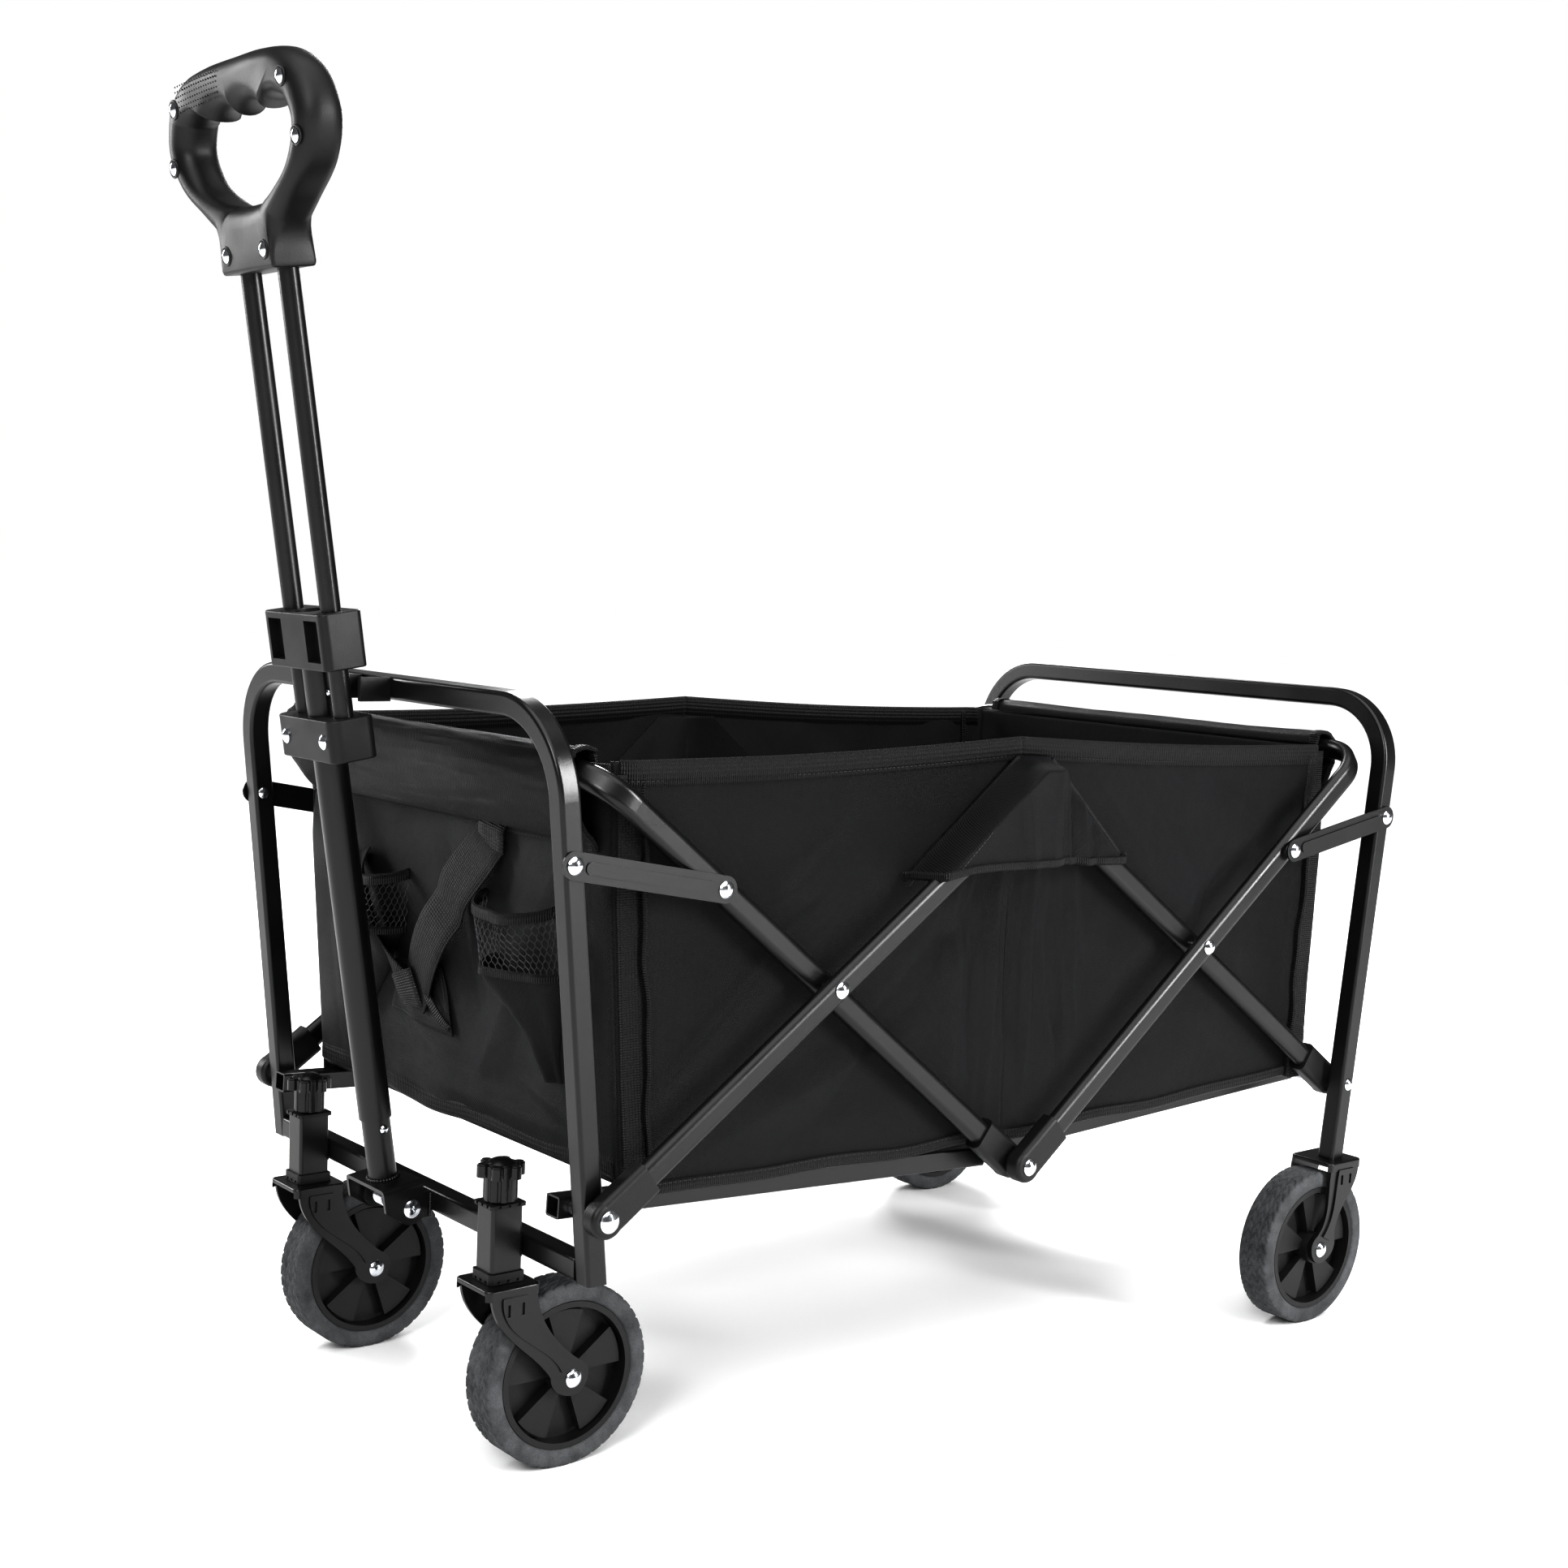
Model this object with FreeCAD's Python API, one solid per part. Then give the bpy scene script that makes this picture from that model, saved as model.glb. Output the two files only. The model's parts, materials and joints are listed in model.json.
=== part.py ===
import FreeCAD, Part
import math
import os

# Folding utility wagon with a telescopic pull handle.
# Millimetres, +Z up, front (handle end) towards -Y, right side +X, floor at Z = 0.
# The origin is on the floor below the middle of the whole object's box.

V = FreeCAD.Vector
ORIGIN_SHIFT = 64.4         # from the middle of the two end frames to the middle of the whole box
X_AXIS = V(1, 0, 0)
Y_AXIS = V(0, 1, 0)
Z_AXIS = V(0, 0, 1)

# ---- end frames -------------------------------------------------------------
TUBE = 17.0                 # outer size of the square end-frame tube
TUBE_WALL = 1.5
TUBE_CORNER = 3.0
FRONT_OUTER = 242.0         # outer face of the front legs from the middle plane
REAR_OUTER = 263.0          # outer face of the rear legs
FRAME_LEAN = 5.6            # both end frames lean outwards at the top, degrees
LEG_FOOT_Y = 404.5          # leg centre line at the height of the front feet
FRONT_FOOT_Z = 166.0
REAR_FOOT_Z = 149.0          # welded on the rear forks
FRAME_TOP_Z = 577.0
FRAME_BEND = 62.0           # centre-line radius of the two top bends

# ---- side linkage (the Y-Z positions of the pivots) ----------------------------
PIVOT_Y = 410.0             # low pivots on the legs
PIVOT_Z = 218.0
CROSS_Y = 206.0             # crossing rivets of the long braces
CROSS_Z = 361.0
CENTRE_LOW_Z = 198.0        # joint of the two bows, bottom centre
CENTRE_TOP_Z = 505.4        # joint of the two braces, top centre
BOW_TOP_Z = 522.4           # top bars of the bows
BOW_TOP_Y = 410.0
BRACE_H = 20.0              # flat-oval tube: height in the side view
BRACE_T = 12.0              # flat-oval tube: thickness across the wagon
BRACE_WALL = 1.2
BRACE_BEND = 34.0
INNER_PLANE = 236.0         # centre plane of the inner tubes (front bow, rear braces)
OUTER_PLANE = 253.0         # centre plane of the outer tubes (front braces, rear bow)
CAP_H = 27.0                # moulded end caps
CAP_T = 16.0
CAP_LENGTH = 44.0

# ---- links between legs and bows ------------------------------------------------
LINK_LEG = (435.0, 464.0)
LINK_BOW = (306.0, 440.0)
LINK_W = 20.0
LINK_T = 2.5                # with its raised rib
LINK_RIB = 1.0
LINK_GAP = 0.35             # from the leg's face to the link
LINK_HEAD = LINK_GAP + LINK_T - LINK_RIB + 0.1

# ---- floor linkage ----------------------------------------------------------------
FLOOR_BAR = 16.0
FLOOR_BAR_WALL = 1.5
FRONT_FLOOR_X = 211.0
REAR_FLOOR_X = 192.0
FLOOR_BAR_OVERHANG = 14.0   # beyond the pivot on the leg
FLOOR_BAR_END = 10.0        # the bars end this far from the centre cross tube's axis

# ---- wheels, forks and casters -------------------------------------------------------
WHEEL_R = 70.0
WHEEL_W = 32.0
RIM_R = 56.0
AXLE_R = 4.0
FRONT_WHEEL_X = 149.0
FRONT_WHEEL_Y = -375.0
SLEEVE_Y = -428.0
REAR_WHEEL_X = 250.0
REAR_WHEEL_Y = 374.0
FORK_TOP_Z = 149.0
FORK_SHEET = 3.0
FORK_GAP = 19.5             # inner face of a fork leg from the wheel's middle
PLATE_X = 46.0
PLATE_Y = 46.0
SLEEVE_X = 22.0
SLEEVE_DEPTH = 26.0
SLEEVE_Z = (152.0, 205.0)
STEM_R = 6.0
SLEEVE_WALL = 2.0
BUSH_BAND = 4.0             # how much wider the moulded bush is than the sleeve
KNOB_Z = (209.0, 240.0)
KNOB_LOBES = 6
KNOB_GROOVES = 10
WEDGES = 5                  # raised panels on the wheel disc
HUB_R = 14.0

# ---- pull handle -------------------------------------------------------------------
HANDLE_LEAN = 8.71          # forward lean of the pole, degrees
HANDLE_Y = -443.0           # pole axis at height HANDLE_Z
HANDLE_Z = 203.0
PIN_LOCAL_Y = 5.5           # pivot pin in the pole's own frame
PIN_LOCAL_T = -32.8
POLE_R = 12.5
POLE_WALL = 1.2
STUB_R = 11.0
POLE_SEAM = 36.0
POLE_TOP = 420.0
THIN_X = 29.0
THIN_R = 7.5
LOW_COLLAR = (318.0, 349.0)
LOW_COLLAR_HALF_Y = 18.5
TOP_COLLAR = (385.0, 426.0)
THIN_FIT = 0.35             # radial clearance of a sliding tube
BUTTON_T = 28.5             # spring buttons along the pole
POLE_BUTTON_T = 366.0
BUTTON_R = 3.4
NECK_T = 665.0
GRIP_TOP = 808.0
GRIP_DEPTH = 34.0
# Left half of the grip's outline and right half of its hand hole, (x, t).
GRIP_OUTER = [(-40, NECK_T), (-42, NECK_T + 22), (-66, NECK_T + 42), (-98, NECK_T + 64), (-111, NECK_T + 92),
              (-102, NECK_T + 121), (-76, NECK_T + 138), (-40, GRIP_TOP), (0, GRIP_TOP + 1.0)]
GRIP_INNER = [(0, NECK_T + 48), (34, NECK_T + 53), (66, NECK_T + 68), (83, NECK_T + 88), (78, NECK_T + 104),
              (60, NECK_T + 109), (46, NECK_T + 105), (30, NECK_T + 110), (15, NECK_T + 105), (0, NECK_T + 110)]
GRIP_RIVETS = [(84, NECK_T + 119), (96, NECK_T + 80), (29, NECK_T + 13)]
GRIP_OUTER_ROUND = 8.0
GRIP_INNER_ROUND = 6.0

# ---- handle bracket, lugs and rest clip ---------------------------------------------
LUG_X = (22.8, 26.4)
LUG_R = 11.5
PIN_R = 3.5
CHEEK_X = (27.0, 30.0)
PLATE_T = (-16.0, -13.0)
BRACKET_Y = (-16.0, 18.0)
SEAM_BEADS = 30             # weld beads round the foot of the pole
SPRING_TURNS = 5
SPRING_WIRE_R = 0.95
SPRING_COIL_R = 7.0
SPRING_PITCH = 2.15
CLIP_X = (17.0, 20.0)
CLIP_FORWARD = 26.0
CLIP_H = 18.0

# ---- fabric basket --------------------------------------------------------------
CLOTH = 3.0
MIDDLE_GAP = 0.2            # between the front and rear halves
MAT_T = 5.0
BASKET_HALF_X = 226.5
BASKET_TOP_Z = 536.0
BASKET_LOW_Z = 228.0
BASKET_TOP_Y = 397.0
BASKET_LOW_Y = {-1: 378.0, 1: 390.0}    # front and rear wall at the floor
SIDE_TOP_Y = 385.0          # the long walls end short of the bows' bends
WALL_END_X = 219.0
WALL_TOP_Z = BOW_TOP_Z - 12.0
POCKET_R = 38.0
POCKET_X = 105.0
POCKET_Z = (282.0, 408.0)

# ---- fasteners -----------------------------------------------------------------
RIVET_R = 6.5
RIVET_H = 3.2
PIN_FIT = 0.05              # radial running clearance of a pin
BOLT_R = 2.95
BOLT_HOLE_R = 3.0
LINK_PIN_R = 2.5
OPEN_PIVOT_R = 6.0          # clearance hole of the opened bottom-centre pivot


os.makedirs("parts", exist_ok=True)


# ---- helpers --------------------------------------------------------------------

def save(shape, name):
    """Write one node, as one solid or as a group of separate solids."""
    solids = shape.Solids
    print("%-24s solids %2d  volume %9.1f cm3" % (name, len(solids), shape.Volume / 1000.0))
    out = solids[0] if len(solids) == 1 else Part.makeCompound(solids)
    out.translate(V(0, ORIGIN_SHIFT, 0))
    out.exportStep("parts/%s.step" % name)


def group(shapes):
    return Part.makeCompound(shapes)


def fuse(shapes):
    if len(shapes) == 1:
        return shapes[0]
    return shapes[0].multiFuse(shapes[1:]).removeSplitter()


def mirror_x(shape):
    return shape.mirror(V(0, 0, 0), X_AXIS)


def mirror_y(shape):
    return shape.mirror(V(0, 0, 0), Y_AXIS)


def both_sides(shape):
    """The shape on the right side with its mirror image on the left."""
    return group([shape, mirror_x(shape)])


def turned(shape, centre, axis, degrees):
    out = shape.copy()
    out.rotate(centre, axis, degrees)
    return out


def moved(shape, vector):
    out = shape.copy()
    out.translate(vector)
    return out


def x_cylinder(radius, x0, x1, y, z):
    return Part.makeCylinder(radius, x1 - x0, V(x0, y, z), X_AXIS)


def rounded_wire(origin, u, v, width, height, radius):
    """Rounded rectangle about origin, width along u and height along v."""
    a, b = width / 2.0, height / 2.0
    r = min(radius, a - 0.01, b - 0.01)
    k = r * (1.0 - math.sqrt(0.5))

    def p(x, y):
        return origin + u * x + v * y

    edges = [
        Part.makeLine(p(-a + r, -b), p(a - r, -b)),
        Part.Arc(p(a - r, -b), p(a - k, -b + k), p(a, -b + r)).toShape(),
        Part.makeLine(p(a, -b + r), p(a, b - r)),
        Part.Arc(p(a, b - r), p(a - k, b - k), p(a - r, b)).toShape(),
        Part.makeLine(p(a - r, b), p(-a + r, b)),
        Part.Arc(p(-a + r, b), p(-a + k, b - k), p(-a, b - r)).toShape(),
        Part.makeLine(p(-a, b - r), p(-a, -b + r)),
        Part.Arc(p(-a, -b + r), p(-a + k, -b + k), p(-a + r, -b)).toShape(),
    ]
    return Part.Wire(edges)


def tube_face(origin, u, v, size, wall):
    """Cross-section of a tube: size is (width along u, height along v, corner radius)."""
    width, height, radius = size
    outer = Part.Face(rounded_wire(origin, u, v, width, height, radius))
    if wall <= 0:
        return outer
    inner = rounded_wire(origin, u, v, width - 2 * wall, height - 2 * wall, max(radius - wall, 0.3))
    return outer.cut(Part.Face(inner)).Faces[0]


def bent_tube(points, radius, normal, size, wall):
    """Tube along a flat polyline with equal bends; its width lies along the plane's normal."""
    pieces = []
    start = points[0]
    for i in range(1, len(points)):
        corner = points[i]
        direction = (corner - start).normalize()
        side = normal.cross(direction).normalize()
        face = tube_face(start, normal, side, size, wall)
        if i == len(points) - 1:
            pieces.append(face.extrude(corner - start))
            break
        following = (points[i + 1] - corner).normalize()
        turn = math.acos(max(-1.0, min(1.0, direction.dot(following))))
        setback = radius * math.tan(turn / 2.0)
        tangent = corner - direction * setback
        pieces.append(face.extrude(tangent - start))
        sign = 1.0 if normal.dot(direction.cross(following)) > 0 else -1.0
        centre = tangent + side * (radius * sign)
        bend_face = tube_face(tangent, normal, side, size, wall)
        pieces.append(bend_face.revolve(centre, normal * sign, math.degrees(turn)))
        start = corner + following * setback
    return fuse(pieces)


def dome(radius, height, base, axis):
    """Shallow domed head standing on base, pointing along axis."""
    sphere_r = (radius * radius + height * height) / (2.0 * height)
    ball = Part.makeSphere(sphere_r, base - axis * (sphere_r - height))
    keep = Part.makeCylinder(radius, height + 1.0, base, axis)
    return ball.common(keep)


def rivet_x(x, y, z, radius=RIVET_R, height=RIVET_H, shank=0.0, shank_r=2.5):
    """Domed rivet head on a face at x, pointing to +X, with a shank going in."""
    parts = [
        Part.makeCylinder(radius, 0.8, V(x, y, z), X_AXIS),
        dome(radius, height, V(x + 0.8, y, z), X_AXIS),
    ]
    if shank > 0:
        parts.append(x_cylinder(shank_r, x - shank, x + 0.4, y, z))
    return fuse(parts)


def side_point(x, yz):
    return V(x, yz[0], yz[1])


def towards(a, b, distance):
    """The point at distance from a on the line to b, for (y, z) pairs."""
    length = math.hypot(b[0] - a[0], b[1] - a[1])
    return (a[0] + (b[0] - a[0]) * distance / length, a[1] + (b[1] - a[1]) * distance / length)


# ---- end frames -------------------------------------------------------------------

def leg_y(z):
    """Distance of the leg's centre line from the middle plane at height z."""
    return LEG_FOOT_Y + (z - FRONT_FOOT_Z) * math.tan(math.radians(FRAME_LEAN))


def end_frame(outer, foot_z):
    """Inverted U of square tube on the front side, leaning forwards at the top."""
    x = outer - TUBE / 2.0
    up = 1.0 / math.cos(math.radians(FRAME_LEAN))
    top = FRONT_FOOT_Z + (FRAME_TOP_Z - FRONT_FOOT_Z) * up - TUBE / 2.0
    foot = FRONT_FOOT_Z + (foot_z - FRONT_FOOT_Z) * up - 4.0
    y = -LEG_FOOT_Y
    path = [V(x, y, foot), V(x, y, top), V(-x, y, top), V(-x, y, foot)]
    tube = bent_tube(path, FRAME_BEND, Y_AXIS, (TUBE, TUBE, TUBE_CORNER), TUBE_WALL)
    tube.rotate(V(0, y, FRONT_FOOT_Z), X_AXIS, FRAME_LEAN)
    below = Part.makeBox(4 * outer, 200.0, 60.0, V(-2 * outer, y - 100.0, foot_z - 60.0))
    return tube.cut(below)


def bore_legs(frame, outer, holes, sign):
    """Pivot holes straight through both legs at the given (y, z) places."""
    cuts = []
    for y, z, radius in holes:
        for side in (1, -1):
            middle = side * (outer - TUBE / 2.0)
            cuts.append(x_cylinder(radius, middle - TUBE, middle + TUBE, sign * y, z))
    return frame.cut(group(cuts))


LEG_HOLES = [(PIVOT_Y, PIVOT_Z, BOLT_HOLE_R), (LINK_LEG[0], LINK_LEG[1], LINK_PIN_R)]
front_tube = end_frame(FRONT_OUTER, FRONT_FOOT_Z)
front_tube = bore_legs(front_tube, FRONT_OUTER, LEG_HOLES, -1)
save(front_tube, "front_frame_tube")

rear_tube = mirror_y(end_frame(REAR_OUTER, REAR_FOOT_Z))
rear_tube = bore_legs(rear_tube, REAR_OUTER, LEG_HOLES, 1)
save(rear_tube, "rear_frame_tube")

# Crossbar between the front feet, with the two handle lugs and the weld beads.
crossbar_y = -leg_y(FRONT_FOOT_Z + TUBE / 2.0)
crossbar_half = FRONT_OUTER - TUBE - 0.2
crossbar = tube_face(V(-crossbar_half, crossbar_y, FRONT_FOOT_Z + TUBE / 2.0), Y_AXIS, Z_AXIS,
                     (TUBE, TUBE, TUBE_CORNER), TUBE_WALL).extrude(V(2 * crossbar_half, 0, 0))
crossbar_front = crossbar_y - TUBE / 2.0

lean = math.radians(HANDLE_LEAN)
pin_y = HANDLE_Y + PIN_LOCAL_Y * math.cos(lean) - PIN_LOCAL_T * math.sin(lean)
pin_z = HANDLE_Z + PIN_LOCAL_Y * math.sin(lean) + PIN_LOCAL_T * math.cos(lean)

def handle_lug():
    plate = Part.makeBox(LUG_X[1] - LUG_X[0], crossbar_front - pin_y, 2 * LUG_R - 3.0,
                         V(LUG_X[0], pin_y, pin_z - LUG_R + 1.5))
    eye = x_cylinder(LUG_R, LUG_X[0], LUG_X[1], pin_y, pin_z)
    hole = x_cylinder(PIN_R + PIN_FIT, LUG_X[0] - 1, LUG_X[1] + 1, pin_y, pin_z)
    return fuse([plate, eye]).cut(hole)


def weld_bead(points, radius):
    """A run of small overlapping beads along a seam."""
    beads = []
    for a, b in zip(points[:-1], points[1:]):
        count = max(2, int((b - a).Length / (1.3 * radius)))
        for i in range(count + 1):
            beads.append(Part.makeSphere(radius, a + (b - a) * (float(i) / count)))
    return fuse(beads)


lug = handle_lug()
bead_x, bead_y = LUG_X[1] + 0.6, crossbar_front - 0.6
bead = weld_bead([V(bead_x, bead_y, pin_z - 9), V(bead_x, bead_y, pin_z + 8)], 1.5)
lug = fuse([lug, bead])
save(fuse([crossbar, lug, mirror_x(lug)]), "front_crossbar")

# Square caster sleeves, welded on the front face of the crossbar.
sleeve = tube_face(V(FRONT_WHEEL_X, SLEEVE_Y, SLEEVE_Z[0]), X_AXIS, Y_AXIS,
                   (SLEEVE_X, SLEEVE_DEPTH, 2.5), SLEEVE_WALL).extrude(V(0, 0, SLEEVE_Z[1] - SLEEVE_Z[0]))
sleeve_back = SLEEVE_Y + SLEEVE_DEPTH / 2.0
web = Part.makeBox(SLEEVE_X - 6, crossbar_front - sleeve_back + 0.5, TUBE - 4,
                   V(FRONT_WHEEL_X - SLEEVE_X / 2.0 + 3, sleeve_back - 0.5, FRONT_FOOT_Z + 2))
web = web.cut(Part.makeBox(60, 10, 60, V(FRONT_WHEEL_X - 30, crossbar_front - 0.02, FRONT_FOOT_Z - 20)))
beads = []
for dx in (-1, 1):
    x = FRONT_WHEEL_X + dx * (SLEEVE_X / 2.0 - 2.4)
    beads.append(weld_bead([V(x, crossbar_front - 1.8, FRONT_FOOT_Z + 1.5),
                            V(x, crossbar_front - 1.8, FRONT_FOOT_Z + TUBE - 1.5)], 1.7))
sleeve = fuse([sleeve, web] + beads)
save(both_sides(sleeve), "caster_sleeves")


def sleeve_bush(z0, z1, flange_z0, flange_z1):
    """Moulded insert in a sleeve end with a square flange and locating notches."""
    inset = 2 * SLEEVE_WALL + 0.2
    plug = tube_face(V(FRONT_WHEEL_X, SLEEVE_Y, z0 - 1.0), X_AXIS, Y_AXIS,
                     (SLEEVE_X - inset, SLEEVE_DEPTH - inset, 1.0), 0)
    plug = plug.extrude(V(0, 0, z1 - z0 + 2.0))
    flange = tube_face(V(FRONT_WHEEL_X, SLEEVE_Y, flange_z0), X_AXIS, Y_AXIS,
                       (SLEEVE_X + BUSH_BAND, SLEEVE_DEPTH + BUSH_BAND, 3.0), 0)
    flange = flange.extrude(V(0, 0, flange_z1 - flange_z0))
    bore = Part.makeCylinder(STEM_R + PIN_FIT, 40, V(FRONT_WHEEL_X, SLEEVE_Y, (z0 + z1) / 2.0 - 20))
    notches = []
    for i in (-1, 0, 1):
        notches.append(Part.makeBox(2.4, 2.0, 6, V(FRONT_WHEEL_X + i * 7 - 1.2,
                                                   SLEEVE_Y - SLEEVE_DEPTH / 2.0 - 2.2, flange_z1 - 1.8)))
        notches.append(Part.makeBox(2.0, 2.4, 6, V(FRONT_WHEEL_X + SLEEVE_X / 2.0 + 0.8,
                                                   SLEEVE_Y + i * 8 - 1.2, flange_z1 - 1.8)))
    return fuse([plug, flange]).cut(group([bore] + notches))


low_bush = sleeve_bush(SLEEVE_Z[0], SLEEVE_Z[0] + 12, SLEEVE_Z[0] - 2.6, SLEEVE_Z[0] - 0.05)
low_collar_band = tube_face(V(FRONT_WHEEL_X, SLEEVE_Y, SLEEVE_Z[0]), X_AXIS, Y_AXIS,
                            (SLEEVE_X + BUSH_BAND, SLEEVE_DEPTH + BUSH_BAND, 3.0), 1.9).extrude(V(0, 0, 5.0))
behind_band = Part.makeBox(60, 20, 20, V(FRONT_WHEEL_X - 30, crossbar_front - 0.5, SLEEVE_Z[0] - 2))
low_collar_band = low_collar_band.cut(behind_band)
low_bush = fuse([low_bush, low_collar_band])
top_bush = sleeve_bush(SLEEVE_Z[1] - 12, SLEEVE_Z[1], SLEEVE_Z[1] + 0.05, SLEEVE_Z[1] + 2.6)
save(group([low_bush, top_bush, mirror_x(low_bush), mirror_x(top_bush)]), "sleeve_bushes")

# U-shaped rest clip for the pole, welded on the top bar of the front frame.
top_bar_y = -leg_y(FRAME_TOP_Z - TUBE / 2.0)
clip_back = top_bar_y - TUBE / 2.0 - 0.3
clip_z = FRAME_TOP_Z - TUBE / 2.0 - 1.0
clip_front = clip_back - CLIP_FORWARD
arm = Part.makeBox(CLIP_X[1] - CLIP_X[0], CLIP_FORWARD, CLIP_H, V(CLIP_X[0], clip_front, clip_z - CLIP_H / 2.0))
arm = arm.makeFillet(1.4, [e for e in arm.Edges if abs(e.CenterOfMass.y - clip_front) < 0.1])
base = Part.makeBox(2 * CLIP_X[1], 3.0, CLIP_H, V(-CLIP_X[1], clip_back - 3.0, clip_z - CLIP_H / 2.0))
clip = fuse([base, arm, mirror_x(arm)])
clip = clip.cut(front_tube)
save(clip, "handle_rest_clip")


def bolt_spacer(radius, x0, x1, y):
    """Sleeve round a low pivot bolt, from x0 to x1."""
    return x_cylinder(radius, x0, x1, y, PIVOT_Z).cut(x_cylinder(BOLT_R + 0.02, x0 - 1, x1 + 1, y, PIVOT_Z))


# Bolts, spacers and link rivets that stay with the legs.
front_bolts = [
    rivet_x(OUTER_PLANE + CAP_T / 2.0 + 0.1, -PIVOT_Y, PIVOT_Z, radius=8.0, height=3.4,
            shank=OUTER_PLANE + CAP_T / 2.0 - (FRONT_FLOOR_X - FLOOR_BAR / 2.0) + 2.0, shank_r=BOLT_R),
    bolt_spacer(7.0, FRONT_OUTER + 0.02, OUTER_PLANE - CAP_T / 2.0 - 0.3, -PIVOT_Y),
    bolt_spacer(6.5, FRONT_FLOOR_X + FLOOR_BAR / 2.0 + 0.3, FRONT_OUTER - TUBE - 0.02, -PIVOT_Y),
    rivet_x(FRONT_OUTER + LINK_HEAD, -LINK_LEG[0], LINK_LEG[1], shank=TUBE + LINK_HEAD + 1.0, shank_r=2.45),
    mirror_x(rivet_x(-(FRONT_OUTER - TUBE) + 0.02, -LINK_LEG[0], LINK_LEG[1], radius=4.6, height=1.6)),
]
save(both_sides(group(front_bolts)), "front_bolts")

rear_bolts = [
    rivet_x(REAR_OUTER + 0.02, PIVOT_Y, PIVOT_Z, radius=5.5, height=2.6,
            shank=REAR_OUTER - (REAR_FLOOR_X - FLOOR_BAR / 2.0) + 2.0, shank_r=BOLT_R),
    bolt_spacer(6.5, REAR_FLOOR_X + FLOOR_BAR / 2.0 + 0.3, INNER_PLANE - CAP_T / 2.0 - 0.3, PIVOT_Y),
    rivet_x(REAR_OUTER + LINK_HEAD, LINK_LEG[0], LINK_LEG[1], shank=TUBE + LINK_HEAD + 1.0, shank_r=2.45),
    mirror_x(rivet_x(-(REAR_OUTER - TUBE) + 0.02, LINK_LEG[0], LINK_LEG[1], radius=4.6, height=1.6)),
]
save(both_sides(group(rear_bolts)), "rear_bolts")


# ---- braces, bows, caps -----------------------------------------------------------

BRACE_SIZE = (BRACE_T, BRACE_H, BRACE_T / 2.0)
LOW_FRONT = (-PIVOT_Y, PIVOT_Z)
LOW_REAR = (PIVOT_Y, PIVOT_Z)
CROSS_FRONT = (-CROSS_Y, CROSS_Z)
CROSS_REAR = (CROSS_Y, CROSS_Z)
MID_TOP = (0.0, CENTRE_TOP_Z)
MID_LOW = (0.0, CENTRE_LOW_Z)


def bores(x0, x1, places, radius):
    return group([x_cylinder(radius, x0, x1, y, z) for y, z in places])


def end_cap(pivot, other, plane, hole_r):
    """Moulded cap over a tube end: rounded at the pivot, open where the tube goes in."""
    inner = towards(pivot, other, CAP_LENGTH)
    dy, dz = inner[0] - pivot[0], inner[1] - pivot[1]
    along = V(0, dy, dz).normalize()
    side = X_AXIS.cross(along)
    body = tube_face(side_point(plane, pivot), X_AXIS, side, (CAP_T, CAP_H, 5.0), 0).extrude(V(0, dy, dz))
    nose = x_cylinder(CAP_H / 2.0, plane - CAP_T / 2.0, plane + CAP_T / 2.0, pivot[0], pivot[1])
    nose = nose.makeFillet(4.0, [e for e in nose.Edges if e.Curve.TypeId == "Part::GeomCircle"])
    socket_start = towards(pivot, other, 12.0)
    socket = tube_face(side_point(plane, socket_start), X_AXIS, side,
                       (BRACE_T + 0.1, BRACE_H + 0.1, BRACE_T / 2.0), 0).extrude(V(0, dy, dz) * 1.3)
    hole = x_cylinder(hole_r, plane - CAP_T, plane + CAP_T, pivot[0], pivot[1])
    return fuse([body, nose]).cut(socket).cut(hole)


def brace(pivot, top, plane, cross):
    """Straight flat-oval tube from inside its cap to its rounded top end."""
    start = towards(pivot, top, 12.2)
    end = towards(top, pivot, -11.0)
    tube = bent_tube([side_point(plane, start), side_point(plane, end)], BRACE_BEND, X_AXIS,
                     BRACE_SIZE, BRACE_WALL)
    keep_end = x_cylinder(BRACE_H / 2.0 + 2.0, plane - BRACE_T, plane + BRACE_T, top[0], top[1])
    body = bent_tube([side_point(plane, start), side_point(plane, top)], BRACE_BEND, X_AXIS,
                     BRACE_SIZE, BRACE_WALL)
    tip = tube.common(keep_end)
    tube = fuse([body, tip])
    return tube.cut(bores(plane - BRACE_T, plane + BRACE_T, [cross, top], 2.5 + PIN_FIT))


front_brace = brace(LOW_FRONT, MID_TOP, OUTER_PLANE, CROSS_FRONT)
rear_brace = brace(LOW_REAR, MID_TOP, INNER_PLANE, CROSS_REAR)
save(both_sides(front_brace), "front_braces")
save(both_sides(rear_brace), "rear_braces")
save(both_sides(end_cap(LOW_FRONT, MID_TOP, OUTER_PLANE, BOLT_HOLE_R)), "front_brace_caps")
save(both_sides(end_cap(LOW_REAR, MID_TOP, INNER_PLANE, BOLT_HOLE_R)), "rear_brace_caps")

# Rivets: the head sits on the outer tube, the shank turns in both tubes.
rivet_face = OUTER_PLANE + BRACE_T / 2.0
cross_shank = rivet_face - (INNER_PLANE - BRACE_T / 2.0) + 1.0
front_brace_rivets = [
    rivet_x(rivet_face + 0.1, CROSS_FRONT[0], CROSS_FRONT[1], shank=cross_shank),
    rivet_x(rivet_face + 0.1, 0.0, CENTRE_TOP_Z, shank=cross_shank),
]
save(both_sides(group(front_brace_rivets)), "front_brace_rivets")
rear_brace_rivets = [
    rivet_x(rivet_face + 0.1, CROSS_REAR[0], CROSS_REAR[1], shank=cross_shank),
]
save(both_sides(group(rear_brace_rivets)), "rear_brace_rivets")


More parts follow.
